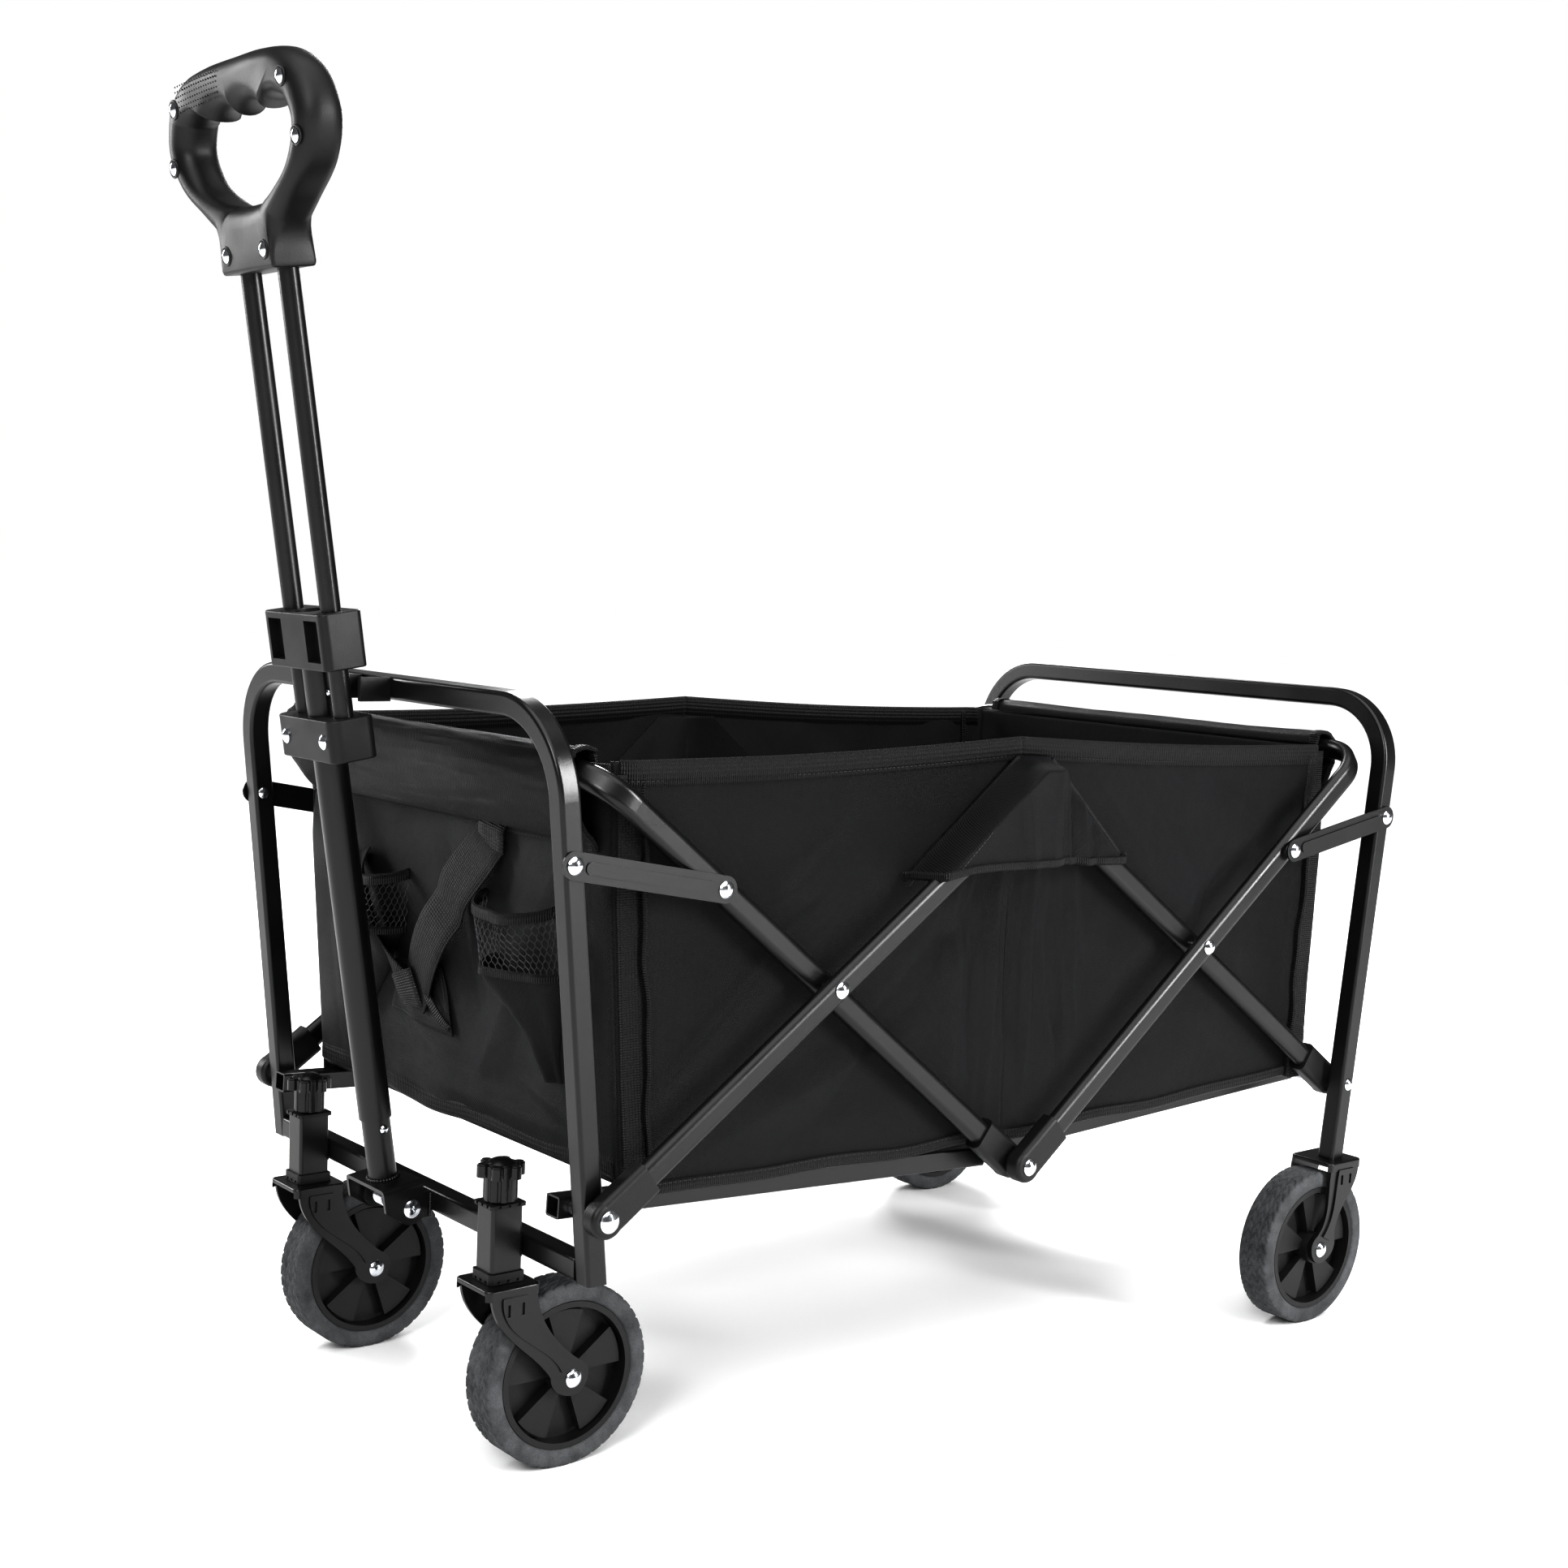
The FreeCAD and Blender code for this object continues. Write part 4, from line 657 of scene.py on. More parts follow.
def corner_seam(side, end):
    """Bound seam that stands out like a fin on the side, just behind each corner."""
    label = wall_word(side, end)
    steps = 60
    out = Vector((side, 0, 0))
    along = Vector((0, end, 0))
    spine = []
    for i in range(steps + 1):
        z = (SEAM_LOW + (SEAM_HIGH - SEAM_LOW) * i / steps) * MM
        share = 1.0 - 24 * MM / abs(end_face(end, z) - MID_Y)
        wave = 1.4 * MM * math.sin(48.0 * z + side) + 0.9 * MM * math.sin(117.0 * z)
        fin = (5.2 - 3.6 * smooth_step((z - 0.455) / 0.03)) * MM
        place = side_place(side, end, share, z) + out * fin + along * wave
        spine.append((place, -out, along))
    tape = folded_tape("corner_seam_" + label, spine, 6 * MM, MAT["tape"])
    sew(apply_modifiers(tape), end)

    spine = []
    for i in range(steps + 1):
        z = (SEAM_LOW - 2 + (SEAM_HIGH - SEAM_LOW) * i / steps) * MM
        share = 1.0 - 11.5 * MM / abs(end_face(end, z) - MID_Y)
        crumple = 1.6 * MM * math.sin(260.0 * z) * (1.0 - smooth_step((z - 0.235) / 0.06))
        spine.append((side_place(side, end, share, z) + out * (1.1 * MM + abs(crumple)), along))
    band = ribbon("corner_tape_" + label, spine, 19 * MM, MAT["tape"], 0.9 * MM)
    sew(apply_modifiers(band), end)


def end_wall(end):
    """Front or rear wall: one sheet from corner seam to corner seam."""
    label = END_WORD[end]
    width = 2.0 * WALL_X

    def low_edge(share):
        return END_FOOT - 4 * MM * (1.0 - share * share) + 1.5 * MM * math.sin(9.0 * share)

    def point(u, v):
        share = 2.0 * u - 1.0
        low_z = low_edge(share)
        return end_place(end, share, low_z + (EDGE_TOP[end] - 0.002 - low_z) * v)

    obj = grid("end_wall_" + label, 150, 100, point, (width, 0.3), MAT["cloth"])
    thicken(obj, CLOTH)
    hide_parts(body_at(end) + "_wall")
    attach(obj, body_at(end))

    spine, sewn = [], []
    for i in range(91):
        share = (2.0 * i / 90 - 1.0) * 0.985
        low_z = low_edge(share)
        spine.append((end_place(end, share, low_z), Z, Vector((0, end, 0))))
        sewn.append(end_place(end, share, low_z + 9 * MM, 1.9 * MM))
    tape = folded_tape("floor_tape_" + label, spine, 15 * MM, MAT["tape"])
    sew(tape, end)
    row = stitch_row("floor_stitches_" + label, sewn, Vector((0, end, 0)))
    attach(row, body_at(end))


SLEEVE_SECTION = [
    # (distance out of the wall, height) in mm round the bow's top bar
    (0.4, 530), (2.0, 536.0), (7.0, 539.5), (14.0, 540.0), (21.0, 537.5), (26.5, 531.5), (28.5, 522),
    (27.0, 511), (22.5, 501), (16.5, 491), (10.0, 482), (4.5, 475.5), (1.3, 471.5), (1.1, 467),
]
SLEEVE_HALF = 211 * MM


def smooth_path(points, steps):
    """Evenly stepped points of a Catmull-Rom curve through the given (a, b) pairs."""
    out = []
    padded = [points[0]] + list(points) + [points[-1]]
    for i in range(1, len(padded) - 2):
        p0, p1, p2, p3 = padded[i - 1], padded[i], padded[i + 1], padded[i + 2]
        for k in range(steps):
            t = k / steps
            out.append(tuple(
                0.5 * (2 * b + (c - a) * t + (2 * a - 5 * b + 4 * c - d) * t * t
                       + (3 * b - a - 3 * c + d) * t ** 3)
                for a, b, c, d in zip(p0, p1, p2, p3)))
    out.append(tuple(points[-1]))
    return out


def bar_sleeve(end):
    """Wide hem sewn round the bow's top bar, wavy where it is slack between its ends."""
    label = END_WORD[end]
    section = smooth_path(SLEEVE_SECTION, 3)
    rows = len(section) - 1
    plane = end_face(end, 0.51)
    drop = 0.0 if end < 0 else -3 * MM

    def point(u, v):
        x = (2.0 * u - 1.0) * SLEEVE_HALF
        out, z = section[int(round(v * rows))]
        slack = math.sin(math.pi * v)
        wave = 1.1 * MM * math.sin(31.0 * x + 2.0 * v + end)
        wave += ripples(Vector((x, 3.0 * v, end)), 17.0, 2.6 * MM)
        sag = -1.5 * MM * math.sin(math.pi * u) * slack
        bend = max(0.0, abs(x) - 0.202)
        if out < 3.0:
            y = end_place(end, x / WALL_X, z * MM).y + end * (out * MM)
        else:
            back = bend * bend / (34 * MM)
            y = plane + end * (out * MM + (wave * slack if 8 < out else 0.0) - back)
        return Vector((x, y, z * MM + sag + drop + 0.5 * wave * slack))

    length = sum(math.dist(a, b) for a, b in zip(section[:-1], section[1:])) * MM
    obj = grid("bar_sleeve_" + label, 140, rows, point, (2 * SLEEVE_HALF, length), MAT["cloth"])
    thicken(obj, CLOTH)
    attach(obj, body_at(end))

    for word, height, stand in (("upper", 474.5, 5.4), ("lower", 469.0, 2.6)):
        places = []
        for i in range(100):
            x = (2.0 * i / 99 - 1.0) * (SLEEVE_HALF - 2 * MM)
            z = height * MM + drop
            y = end_place(end, x / WALL_X, z).y + end * (stand * MM)
            places.append(Vector((x, y, z)))
        row = stitch_row("sleeve_stitches_%s_%s" % (word, label), places, Vector((0, end, 0)))
        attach(row, body_at(end))
    for side in (1, -1):
        spine = []
        u = 1.0 if side > 0 else 0.0
        for i in range(rows + 1):
            place = point(u, i / rows) + Vector((side * 0.5 * MM, 0, 0))
            spine.append((place, Vector((-side, 0, 0)), sleeve_normal(section, i, end)))
        name = "sleeve_end_%s_%s" % (label, SIDE_WORD[side])
        tape = folded_tape(name, spine, 9 * MM, MAT["tape"])
        sew(tape, end)


def sleeve_normal(section, i, end):
    a = section[max(0, i - 1)]
    b = section[min(len(section) - 1, i + 1)]
    d_out, d_z = b[0] - a[0], b[1] - a[1]
    size = math.hypot(d_out, d_z) or 1.0
    return Vector((0, -end * d_z / size, d_out / size))


for side in (1, -1):
    for end in (-1, 1):
        long_wall(side, end)
        long_wall_trim(side, end)
        corner_seam(side, end)
for end in (-1, 1):
    end_wall(end)
    bar_sleeve(end)


# ---- basket: pockets over the braces' top joint ------------------------------------------

POCKET_LEFT = (-122 * MM, 434 * MM)          # (y from the middle plane, z) of the sewn corners
POCKET_RIGHT = (128 * MM, 438 * MM)
POCKET_APEX_LEFT = (-6 * MM, 527 * MM)
POCKET_APEX_RIGHT = (34 * MM, 525 * MM)
POCKET_OUT = 36.5 * MM                      # how far it stands out over the outer brace and rivet
POCKET_REAR_OUT = 19 * MM                   # and over the inner brace
POCKET_PLEATS = [
    # middle from the wagon's middle plane, half width and height, all in mm
    (16, 5, -3.2), (26, 4, 3.0), (36, 5, -3.4), (47, 6, 3.2), (60, 6, -2.6), (-30, 9, 2.2),
]


def pocket_place(side, u, v, extra=0.0):
    """u runs along Y, v from the open hem up to the apex."""
    left_y = POCKET_LEFT[0] + (POCKET_APEX_LEFT[0] - POCKET_LEFT[0]) * v
    left_z = POCKET_LEFT[1] + (POCKET_APEX_LEFT[1] - POCKET_LEFT[1]) * v
    right_y = POCKET_RIGHT[0] + (POCKET_APEX_RIGHT[0] - POCKET_RIGHT[0]) * v
    right_z = POCKET_RIGHT[1] + (POCKET_APEX_RIGHT[1] - POCKET_RIGHT[1]) * v
    # the flap is packed towards its left seam, where it climbs steeply over the tube
    packed = u ** 1.15
    y = left_y + (right_y - left_y) * packed
    z = left_z + (right_z - left_z) * packed
    z += (8 * MM * math.sin(math.pi * min(1.0, u * 1.3)) + 1.2 * MM * math.sin(11.0 * u)) * (1.0 - v)
    climb = smooth_step((y - left_y) / (13 * MM))
    fall = smooth_step((right_y - y) / (24 * MM))
    rear = smooth_step((y - 4 * MM) / (40 * MM))
    roof = smooth_step((POCKET_APEX_LEFT[1] - z + 1 * MM) / (11 * MM))
    height = (POCKET_OUT + (POCKET_REAR_OUT - POCKET_OUT) * rear) * climb * fall * roof
    pleats = 0.0
    for middle, width, depth in POCKET_PLEATS:
        lean = middle * MM + (0.515 - z) * 0.18
        pleats += depth * MM * max(0.0, 1.0 - abs(y - lean) / (width * MM))
    pleats *= smooth_step((0.512 - z) / 0.03)
    x = WALL_X + 1.2 * MM + height + pleats * climb * fall + extra
    return Vector((side * x, MID_Y + y, z))


def joint_pocket(side):
    label = SIDE_WORD[side]
    out = Vector((side, 0, 0))
    obj = grid("joint_pocket_" + label, 190, 80, lambda u, v: pocket_place(side, u, v), (0.25, 0.1),
               MAT["cloth"])
    thicken(obj, 1.2 * MM)
    apply_modifiers(obj)
    trims = [obj]
    hem = [(pocket_place(side, i / 90, 0.0), Z, out) for i in range(91)]
    trims.append(folded_tape("pocket_hem_" + label, hem, 6 * MM, MAT["tape"]))
    for word, u in (("front", 0.012), ("ridge", 0.10), ("rear", 0.985)):
        places = [pocket_place(side, u, 0.03 + 0.93 * k / 40, 1.0 * MM) for k in range(41)]
        trims.append(stitch_row("pocket_seam_%s_%s" % (word, label), places, out, 3.6 * MM))
    edges = (("flap", 0.0, Vector((0, 0.62, -0.78)), 7 * MM),
             ("edge", 1.0, Vector((0, -0.68, -0.73)), 5 * MM))
    for word, u, inward, depth in edges:
        spine = [(pocket_place(side, u, k / 40, 0.6 * MM), inward, out) for k in range(41)]
        trims.append(folded_tape("pocket_%s_%s" % (word, label), spine, depth, MAT["tape"]))
    for piece in trims:
        apply_modifiers(piece)
        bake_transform(piece)


def lining_patch(side):
    """Reinforcing patch sewn inside the long wall behind the joint pocket."""
    for end in (-1, 1):
        reach = 118 * MM

        def point(u, v):
            y = end * reach * u * (1.0 - 0.72 * v)
            z = 0.452 + (edge_height(MID_Y) - 0.018 - 0.452) * v
            share = min(1.0, abs(y) / abs(end_face(end, z) - MID_Y))
            return side_place(side, end, share, z, -2.0 * MM - 0.8 * MM * math.sin(9 * u) * (1 - v))

        obj = grid("lining_patch_" + wall_word(side, end), 40, 30, point, (reach, 0.08), MAT["lining"])
        thicken(obj, 0.8 * MM)
        gather(obj, end)


for side in (1, -1):
    joint_pocket(side)
    lining_patch(side)


# ---- basket: cup pockets, strap and patch on the front wall ---------------------------------

FORWARD = Vector((0, -1, 0))
CUP_X = (low("cup_pockets").x + 38 * MM, high("cup_pockets").x - 38 * MM)
CUP_TOP = 417 * MM
NET_LOW = 368 * MM
CUP_LOW = 290 * MM


def cup_place(centre, t, z):
    """t runs 0 to 1 across the pocket's front; it narrows to a point near the floor."""
    share = (z - CUP_LOW) / (CUP_TOP - CUP_LOW)
    half = (13 + 36 * smooth_step(share * 1.35)) * MM
    lean = 40 * MM * max(0.0, 1.0 - share) ** 1.4 * (1 if centre > 0 else -1)
    depth = (5 + 23 * smooth_step(share * 1.4)) * MM
    a = math.pi * t
    x = centre + lean - half * math.cos(a)
    sag = -8 * MM * math.sin(a) * smooth_step(share * 2 - 1.0)
    pucker = 3.2 * MM * math.sin(13.0 * t + 34.0 * z + centre * 30) * math.sin(a) ** 2
    pucker += ripples(Vector((x, centre, z)), 38.0, 5.0 * MM, 3.0) * math.sin(a)
    wall = end_place(-1, max(-1.0, min(1.0, x / WALL_X)), z).y
    return Vector((x, wall - 0.8 * MM - (depth + pucker) * math.sin(a), z + sag))


def hex_net(name, centre):
    """Knitted net of hexagonal cells between the band and the solid foot of the pocket."""
    cell = 6.6 * MM
    width = 0.150
    columns = int(width / cell)
    row_height = cell * 0.82
    rows = int((CUP_TOP - NET_LOW) / row_height) + 1
    mesh = bmesh.new()
    corners = {}

    def corner(ix, iz):
        """Corners of a brick-shaped hexagon grid, keyed in half cells."""
        key = (ix, iz)
        if key not in corners:
            t = min(1.0, max(0.0, ix * 0.5 * cell / width))
            nudge = 0.28 * row_height * (1 if (ix + iz) % 2 == 0 else -1)
            z = NET_LOW - 2 * MM + iz * row_height + nudge
            corners[key] = mesh.verts.new(cup_place(centre, t, min(z, CUP_TOP)))
        return corners[key]

    for iz in range(rows):
        for i in range(columns):
            x0 = 2 * i + (iz % 2)
            ring = [corner(x0, iz), corner(x0 + 1, iz), corner(x0 + 2, iz),
                    corner(x0 + 2, iz + 1), corner(x0 + 1, iz + 1), corner(x0, iz + 1)]
            if len(set(ring)) == 6:
                mesh.faces.new(ring)
    data = bpy.data.meshes.new(name)
    mesh.to_mesh(data)
    mesh.free()
    data.materials.append(MAT["net"])
    obj = bpy.data.objects.new(name, data)
    bpy.context.scene.collection.objects.link(obj)
    wire = obj.modifiers.new("threads", "WIREFRAME")
    wire.thickness = 1.0 * MM
    wire.use_even_offset = False
    return obj


def cup_pocket(index, centre):
    label = "left" if centre < 0 else "right"
    net = hex_net("pocket_net_" + label, centre)
    apply_modifiers(net)
    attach(net, "basket_front")
    if index == 0:
        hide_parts("cup_pockets")

    foot = grid("pocket_foot_" + label, 60, 40,
                lambda u, v: cup_place(centre, u, CUP_LOW + (NET_LOW + 2 * MM - CUP_LOW) * v),
                (0.13, 0.07), MAT["cloth"])
    sew(thicken(foot, CLOTH), -1)

    rims = (("band", CUP_TOP + 3 * MM, 0.0, 8 * MM), ("seam_tape", NET_LOW + 4 * MM, -0.4 * MM, 6 * MM))
    for word, z, stand, depth in rims:
        spine = [(cup_place(centre, i / 50, z) + Vector((0, stand, 0)), -Z, FORWARD) for i in range(51)]
        sew(folded_tape("pocket_%s_%s" % (word, label), spine, depth, MAT["tape"]), -1)


for number, centre in enumerate(CUP_X):
    cup_pocket(number, centre)


def front_place(x, z, out):
    return end_place(-1, x * MM / WALL_X, z * MM, 0.0) + Vector((0, -out * MM, 0))


def strap_run(name, centre_line, width, tilt):
    """Webbing along (x, z, distance off the wall) points in mm; tilt turns its face sideways."""
    path = smooth_path(centre_line, 6)
    spine = []
    for i, (x, z, out) in enumerate(path):
        a = path[max(0, i - 1)]
        b = path[min(len(path) - 1, i + 1)]
        along = Vector((b[0] - a[0], 0, b[1] - a[1])).normalized()
        across = Vector((along.z, tilt * math.sin(math.pi * i / (len(path) - 1)), -along.x))
        spine.append((front_place(x, z, out), across.normalized()))
    sew(ribbon(name, spine, width, MAT["strap"], 1.3 * MM), -1)


def pull_strap():
    """Wide webbing sewn on under the hem, hanging slack in a V to a stitched patch."""
    runs = (
        ("pull_strap_right", 38, -0.12, [(75, 462, 3.5), (64, 449, 9), (40, 426, 12), (12, 396, 13),
                                         (-14, 364, 12), (-36, 338, 8), (-52, 318, 3.6)]),
        ("pull_strap_left", 24, 0.9, [(-124, 426, 2.6), (-116, 408, 8), (-100, 380, 12), (-80, 350, 10),
                                      (-60, 326, 4.6)]),
        ("strap_fold", 35, 0.0, [(80, 476, 2.6), (79, 470, 6.0), (78, 462, 6.6), (76, 454, 6.0)]),
        ("strap_end_fold", 31, 0.0, [(-60, 338, 9.4), (-57, 329, 8.6), (-54, 318, 6.8), (-53, 309, 3.2)]),
        ("patch_loop", 7, -0.2, [(-40, 332, 3.0), (-27, 322, 7.5), (-12, 309, 6.0), (-1, 300, 3.0)]),
    )
    for name, width, tilt, centre_line in runs:
        strap_run(name, centre_line, width * MM, tilt)


def strap_patch():
    """Pointed patch of cloth sewn over the strap's lower end."""
    corners = [(-96, 301), (-78, 345), (-9, 349), (3, 295)]

    def point(u, v):
        low_x = corners[0][0] + (corners[3][0] - corners[0][0]) * u
        low_z = corners[0][1] + (corners[3][1] - corners[0][1]) * u
        top_x = corners[1][0] + (corners[2][0] - corners[1][0]) * u
        top_z = corners[1][1] + (corners[2][1] - corners[1][1]) * u
        out = 2.2 + 1.2 * math.sin(math.pi * u) * math.sin(math.pi * v) + 0.4 * math.sin(19 * u + 7 * v)
        return front_place(low_x + (top_x - low_x) * v, low_z + (top_z - low_z) * v, out)

    patch = grid("strap_patch", 40, 24, point, (0.1, 0.05), MAT["cloth"])
    sew(thicken(patch, 1.1 * MM), -1)
    rows = (
        ("patch_stitches_0", 30, lambda t: point(0.04 + 0.92 * t, 0.06)),
        ("patch_stitches_1", 30, lambda t: point(0.04 + 0.92 * t, 0.94)),
        ("patch_ends_0", 20, lambda t: point(0.05, 0.06 + 0.88 * t)),
        ("patch_ends_1", 20, lambda t: point(0.95, 0.06 + 0.88 * t)),
    )
    for name, count, at in rows:
        places = [at(i / count) + FORWARD * MM for i in range(count + 1)]
        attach(stitch_row(name, places, FORWARD, 3.4 * MM), "basket_front")


pull_strap()
strap_patch()


# ---- basket: floor mat ------------------------------------------------------------------------

def floor_mat(end):
    """Half of the stiffened mat that lies on the floor bars, quilted and bound."""
    node = body_at(end) + "_floor"
    lowest, highest = low(node), high(node)
    columns, rows = 110, 90
    thickness = highest.z - lowest.z
    half_x = highest.x - 1 * MM

    def top_height(u, v):
        lines = 0.0
        for place in (1 / 3, 2 / 3):
            lines = max(lines, math.exp(-((u - place) / 0.008) ** 2))
        lines = max(lines, math.exp(-((v - 0.5) / 0.01) ** 2))
        rim = min(u, 1 - u, v, 1 - v)
        crown = 1.6 * MM * smooth_step(rim / 0.06)
        return highest.z + crown - 2.2 * MM * lines

    verts, uvs, faces = [], [], []
    for layer in (0, 1):
        for j in range(rows + 1):
            for i in range(columns + 1):
                u, v = i / columns, j / rows
                x = -half_x + 2 * half_x * u
                y = lowest.y + (highest.y - lowest.y) * v
                z = top_height(u, v) if layer else lowest.z + 0.3 * MM
                if not layer and 0 < i < columns and 0 < j < rows:
                    z = lowest.z + 0.1 * MM
                verts.append((x, y, z + (0.6 * MM if layer else 0.0)))
                uvs.append((x, y))
    stride = columns + 1
    count = stride * (rows + 1)
    for j in range(rows):
        for i in range(columns):
            a = j * stride + i
            faces.append((a + count, a + count + 1, a + count + stride + 1, a + count + stride))
            faces.append((a, a + stride, a + stride + 1, a + 1))
    rim = [j * stride for j in range(rows, 0, -1)] + list(range(0, columns))
    rim += [j * stride + columns for j in range(0, rows)] + [rows * stride + i for i in range(columns, 0, -1)]
    for a, b in zip(rim, rim[1:] + rim[:1]):
        faces.append((a, b, b + count, a + count))
    mat = mesh_object("floor_mat_" + (END_WORD[end]), verts, faces, MAT["cloth"], uvs)
    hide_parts(node)
    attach(mat, END_WORD[end] + "_floor")


for end in (-1, 1):
    floor_mat(end)


# ---- wheels: moulded tread -----------------------------------------------------------------

BLOCKS = 44                 # zigzag blocks round the tread


def tread_depth(angle, across):
    """Depth of the zigzag sipes, for across from -1 to 1."""
    turn = angle * BLOCKS / (2 * math.pi)
    zigzag = abs(((across * 1.6 + 1.0) % 1.0) - 0.5) * 2.0
    phase = (turn + 0.85 * zigzag) % 1.0
    sipe = 1.0 - smooth_step(abs(phase - 0.5) / 0.16)
    groove = 1.0 - smooth_step(abs(abs(across) - 0.36) / 0.07)
    return max(sipe, 0.8 * groove)


def tyre(node, body):
    lowest, highest = low(node), high(node)
    centre = (lowest + highest) / 2.0
    radius = (highest.z - lowest.z) / 2.0
    half = (highest.x - lowest.x) / 2.0
    inner = radius - 14.1 * MM
    profile = [(-0.80, inner), (-0.94, inner + 0.6 * MM), (-1.0, inner + 2.2 * MM), (-1.0, radius - 7 * MM),
               (-0.985, radius - 3.6 * MM), (-0.93, radius - 1.4 * MM)]
    tread = [(-0.86 + 1.72 * i / 22, radius - 0.5 * MM) for i in range(23)]
    profile = profile + tread + [(-a, r) for a, r in reversed(profile)]
    segments = BLOCKS * 10
    verts = []
    for k in range(segments):
        angle = 2 * math.pi * k / segments
        for across, r in profile:
            if r > radius - 1.0 * MM:
                r = radius - 1.5 * MM * tread_depth(angle, across / 0.9)
            verts.append((centre.x + across * half, centre.y + r * math.cos(angle),
                          centre.z + r * math.sin(angle)))
    obj = mesh_object("tread_" + node, verts, ring_faces(segments, len(profile)), MAT["tyre"])
    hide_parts(node)
    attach(obj, body)


for end_name in ("front", "rear"):
    for side_name in ("right", "left"):
        tyre("%s_tyre_%s" % (end_name, side_name), "%s_wheel_%s" % (end_name, side_name))


# ---- handle: wound springs ---------------------------------------------------------------------

POLE_LEAN = math.radians(8.71)      # the parked handle leans back by this


def spring(side):
    """Close-wound torsion spring on the pivot pin, with one leg up and one lying forwards."""
    pin = joint_at("handle_tilt")
    turns, per_turn = 6.0, 20
    coil_r, wire_r, pitch = 7.0 * MM, 0.95 * MM, 2.05 * MM
    places = []
    start = Vector((side * 4.5 * MM, coil_r * math.cos(0.0), 0.0))
    places.append(start + Vector((0, 0, 15.5 * MM)))
    for i in range(int(turns * per_turn) + 1):
        a = 2 * math.pi * i / per_turn
        places.append(Vector((side * (4.5 * MM + pitch * i / per_turn), coil_r * math.cos(a),
                              -coil_r * math.sin(a))))
    places.append(places[-1] + Vector((side * 1.5 * MM, 0, -6 * MM)))
    turn = Matrix.Rotation(POLE_LEAN, 4, "X")
    curve = bpy.data.curves.new("spring", "CURVE")
    curve.dimensions = "3D"
    curve.bevel_depth = wire_r
    curve.bevel_resolution = 3
    spline = curve.splines.new("POLY")
    spline.points.add(len(places) - 1)
    for point, place in zip(spline.points, places):
        point.co = (*(pin + turn @ place), 1.0)
    source = bpy.data.objects.new("spring_curve", curve)
    bpy.context.scene.collection.objects.link(source)
    bpy.context.view_layer.update()
    mesh = bpy.data.meshes.new_from_object(source.evaluated_get(bpy.context.evaluated_depsgraph_get()))
    bpy.data.objects.remove(source)
    mesh.materials.clear()
    mesh.materials.append(MAT["chrome"])
    for polygon in mesh.polygons:
        polygon.use_smooth = True
    obj = bpy.data.objects.new("spring_" + (SIDE_WORD[side]), mesh)
    bpy.context.scene.collection.objects.link(obj)
    if side > 0:
        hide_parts("handle_springs")
    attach(obj, "handle")


for side in (1, -1):
    spring(side)


# ---- handle: moulded grip ------------------------------------------------------------------------

NECK = 665.0                # along the pole from the foot of the bracket, mm
GRIP_OUTLINE = [(-40, NECK), (-42, NECK + 22), (-64, NECK + 42), (-96, NECK + 64), (-110.5, NECK + 92),
                (-102, NECK + 121), (-76, NECK + 138), (-40, NECK + 143), (0, NECK + 143.5)]
HOLE_OUTLINE = [(0, NECK + 45), (20, NECK + 46), (42, NECK + 51), (62, NECK + 61), (76, NECK + 76),
                (82, NECK + 91), (73, NECK + 106)]
GRIP_MIDDLE = NECK + 80.0
GRIP_HALF_DEPTH = 17.0
PIN_FROM_AXIS = 5.5         # the pivot pin behind the pole's axis and below its foot, mm
PIN_BELOW = 32.8
GRIP_RIVETS = [(84, NECK + 119), (96, NECK + 80), (29, NECK + 13)]


def handle_place(x, y, t):
    """From the handle's own frame (mm, t along the pole) to the row frame."""
    local = Vector((x, y - PIN_FROM_AXIS, t + PIN_BELOW)) * MM
    return joint_at("handle_tilt") + Matrix.Rotation(POLE_LEAN, 3, "X") @ local


def hole_points():
    """Hand hole: a broad bowl below and four finger hollows along the top."""
    half = smooth_path(HOLE_OUTLINE, 8)
    top = []
    for i in range(1, 96):
        x = 73.0 - 146.0 * i / 96
        top.append((x, NECK + 104.5 + 6.5 * abs(math.sin(math.pi * (x + 73.0) / 36.5)) ** 0.75))
    left = [(-x, t) for x, t in reversed(half)]
    return half + top + left


def reach(points, angle):
    """Distance from the grip's middle to a closed outline, in the direction of an angle."""
    dx, dt = math.cos(angle), math.sin(angle)
    best = None
    for (x0, t0), (x1, t1) in zip(points, points[1:] + points[:1]):
        ax, at = x0, t0 - GRIP_MIDDLE
        bx, bt = x1 - x0, t1 - t0
        cross = dx * bt - dt * bx
        if abs(cross) < 1e-9:
            continue
        along = (ax * bt - at * bx) / cross
        share = (ax * dt - at * dx) / cross
        if along > 0 and -1e-6 <= share <= 1.000001 and (best is None or along < best):
            best = along
    return best


def section_point(inner, outer, round_outer, k, steps):
    """Point k of a rounded rectangle between two radii; returns (radius, depth)."""
    half = (outer - inner) / 2.0
    r_in = min(16.2, half * 0.97)
    r_out = min(round_outer, half * 0.97)
    corners = [(outer - r_out, GRIP_HALF_DEPTH - r_out, r_out, 0.0),
               (inner + r_in, GRIP_HALF_DEPTH - r_in, r_in, 90.0),
               (inner + r_in, -(GRIP_HALF_DEPTH - r_in), r_in, 180.0),
               (outer - r_out, -(GRIP_HALF_DEPTH - r_out), r_out, 270.0)]
    radius, depth, r, start = corners[k // steps]
    a = math.radians(start + 90.0 * (k % steps) / (steps - 1))
    return radius + r * math.cos(a), depth + r * math.sin(a)


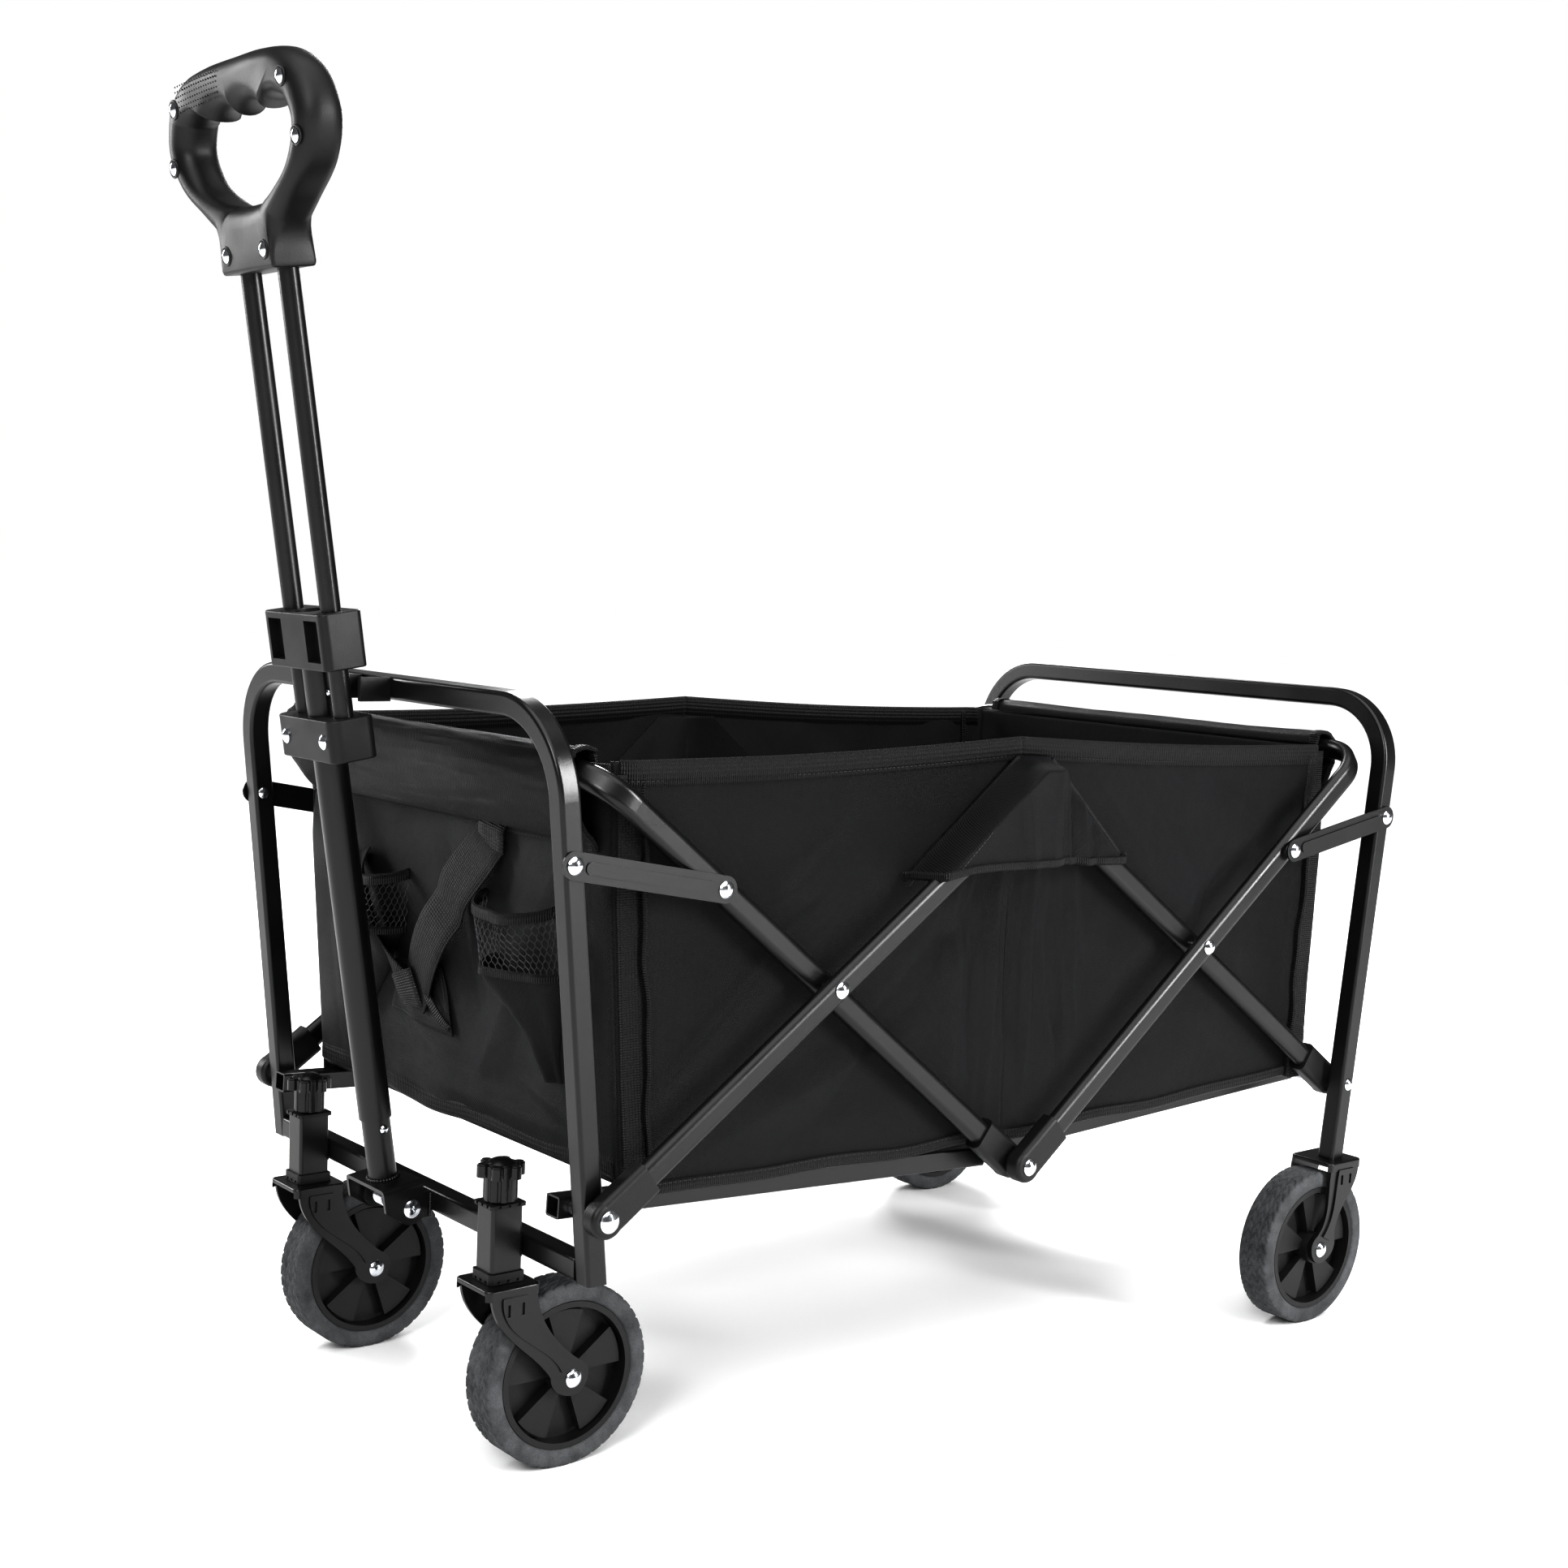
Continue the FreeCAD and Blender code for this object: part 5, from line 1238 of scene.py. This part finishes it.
def grip():
    """Thick loop grip with rounded sides, finger hollows and a square neck."""
    left = smooth_path(GRIP_OUTLINE, 10)
    outline = left + [(-x, t) for x, t in reversed(left[:-1])]
    hole = hole_points()
    count, steps = 360, 8
    inner = [reach(hole, 2 * math.pi * k / count) for k in range(count)]
    outer = [reach(outline, 2 * math.pi * k / count) for k in range(count)]
    rounding = []
    for k in range(count):
        a = 2 * math.pi * k / count
        foot = GRIP_MIDDLE + outer[k] * math.sin(a)
        rounding.append(3.0 + 12.5 * smooth_step((foot - NECK - 6.0) / 34.0))
    verts = []
    for k in range(count):
        a = 2 * math.pi * k / count
        for m in range(4 * steps):
            radius, depth = section_point(inner[k], outer[k], rounding[k], m, steps)
            verts.append(handle_place(radius * math.cos(a), depth, GRIP_MIDDLE + radius * math.sin(a)))
    body = mesh_object("grip_body", verts, ring_faces(count, 4 * steps), MAT["soft_plastic"])
    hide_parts("handle_grip")
    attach(body, "grip_slide")

    dots = []
    for row in range(6):
        for column in range(18):
            x = -78.0 + 3.9 * column
            t = NECK + 118.0 + 3.6 * row - 0.0004 * x * x
            drop = max(0.0, (t - NECK - 130.5) / 13.0)
            y = -GRIP_HALF_DEPTH + 13.0 * (1.0 - math.sqrt(max(0.0, 1.0 - drop * drop)))
            dots.append((x, y, t))
    verts, faces = [], []
    for x, y, t in dots:
        base = len(verts)
        for ring, rise in ((0.75, -0.15), (0.45, 0.32)):
            for i in range(6):
                a = math.pi * i / 3.0
                verts.append(handle_place(x + ring * math.cos(a), y - rise, t + ring * math.sin(a)))
        for i in range(6):
            j = (i + 1) % 6
            faces.append((base + i, base + j, base + 6 + j, base + 6 + i))
        faces.append(tuple(base + 6 + i for i in range(6)))
    texture = mesh_object("grip_dots", verts, faces, MAT["soft_plastic"])
    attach(texture, "grip_slide")

    verts, faces = [], []
    for rivet_x, rivet_t in GRIP_RIVETS:
        for side in (1, -1):
            base = len(verts)
            for i in range(32):
                a = 2 * math.pi * i / 32
                for j in range(8):
                    b = 2 * math.pi * j / 8
                    r = 6.1 + 0.9 * math.cos(b)
                    depth = -GRIP_HALF_DEPTH + 0.1 - 0.9 * math.sin(b)
                    verts.append(handle_place(side * rivet_x + r * math.cos(a), depth,
                                              rivet_t + r * math.sin(a)))
            for i in range(32):
                for j in range(8):
                    k, n = (i + 1) % 32, (j + 1) % 8
                    faces.append((base + i * 8 + j, base + i * 8 + n, base + k * 8 + n, base + k * 8 + j))
    seats = mesh_object("grip_rivet_seats", verts, faces, MAT["soft_plastic"])
    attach(seats, "grip_slide")


grip()


# ---- camera, light, floor ------------------------------------------------------------------

CAMERA_AT = Vector((1.4585, -1.1875, 0.6690))
AZIMUTH = math.radians(51.25)
DOWN = math.radians(7.36)
ROLL = math.radians(2.27)


WORLD_LIGHT = 0.16
SKY_LIGHT = 3.7
SKY_SPREAD = math.radians(75.0)
FLOOR_HALF = 14.0
CONTRAST = 0.72             # view gamma: below 1 it deepens the blacks


def add_camera():
    data = bpy.data.cameras.new("camera")
    data.sensor_width = 36.0
    data.lens = 50.40
    data.shift_x = 0.0154
    data.shift_y = 0.0414
    camera = bpy.data.objects.new("camera", data)
    forward = Vector((-math.sin(AZIMUTH) * math.cos(DOWN), math.cos(AZIMUTH) * math.cos(DOWN),
                      -math.sin(DOWN)))
    right = Vector((math.cos(AZIMUTH), math.sin(AZIMUTH), 0.0))
    up = right.cross(forward)
    turned_right = right * math.cos(ROLL) + up * math.sin(ROLL)
    turned_up = up * math.cos(ROLL) - right * math.sin(ROLL)
    rotation = Matrix((turned_right, turned_up, -forward)).transposed()
    camera.matrix_world = Matrix.Translation(CAMERA_AT) @ rotation.to_4x4()
    bpy.context.scene.collection.objects.link(camera)
    bpy.context.scene.camera = camera


def area_light(name, place, target, size, power):
    data = bpy.data.lights.new(name, "AREA")
    data.shape = "RECTANGLE"
    data.size, data.size_y = size
    data.energy = power
    light = bpy.data.objects.new(name, data)
    place = Vector(place)
    light.rotation_euler = (Vector(target) - place).to_track_quat("-Z", "Y").to_euler()
    light.location = place
    bpy.context.scene.collection.objects.link(light)


def add_studio():
    """Pale floor, white backdrop, a broad soft sky and four soft strip lights."""
    world = bpy.data.worlds.new("studio")
    world.use_nodes = True
    background = world.node_tree.nodes["Background"]
    background.inputs["Color"].default_value = (1.0, 1.0, 1.0, 1.0)
    background.inputs["Strength"].default_value = WORLD_LIGHT
    backdrop = world.node_tree.nodes.new("ShaderNodeBackground")
    backdrop.inputs["Color"].default_value = (1.0, 1.0, 1.0, 1.0)
    seen = world.node_tree.nodes.new("ShaderNodeLightPath")
    mix = world.node_tree.nodes.new("ShaderNodeMixShader")
    output = world.node_tree.nodes["World Output"]
    world.node_tree.links.new(seen.outputs["Is Camera Ray"], mix.inputs[0])
    world.node_tree.links.new(background.outputs[0], mix.inputs[1])
    world.node_tree.links.new(backdrop.outputs[0], mix.inputs[2])
    world.node_tree.links.new(mix.outputs[0], output.inputs["Surface"])
    bpy.context.scene.world = world

    floor_mesh = bpy.data.meshes.new("studio_floor")
    r = FLOOR_HALF
    floor_mesh.from_pydata([(-r, -r, 0), (r, -r, 0), (r, r, 0), (-r, r, 0)], [], [(0, 1, 2, 3)])
    floor = bpy.data.objects.new("studio_floor", floor_mesh)
    n = Nodes("floor_paper")
    floor_mesh.materials.append(n.finish((0.93, 0.93, 0.93), 0.7, None, **{"Specular IOR Level": 0.2}))
    bpy.context.scene.collection.objects.link(floor)

    data = bpy.data.lights.new("sky_soft", "SUN")
    data.energy = SKY_LIGHT
    data.angle = SKY_SPREAD
    sun = bpy.data.objects.new("sky_soft", data)
    sun.rotation_euler = (math.radians(12.0), math.radians(14.0), 0.0)
    bpy.context.scene.collection.objects.link(sun)

    area_light("key_soft", (2.2, -2.8, 2.4), (0.1, -0.1, 0.35), (0.7, 1.6), 85.0)
    area_light("side_soft", (3.2, 1.6, 1.5), (0.1, 0.1, 0.35), (0.5, 2.0), 170.0)
    area_light("back_soft", (-2.4, 1.8, 2.2), (0.0, 0.0, 0.35), (1.0, 1.6), 90.0)
    area_light("left_soft", (-3.0, -1.6, 1.6), (0.0, 0.0, 0.4), (0.5, 1.8), 70.0)


add_camera()
add_studio()
scene = bpy.context.scene
scene.view_settings.view_transform = "Standard"
scene.view_settings.gamma = CONTRAST
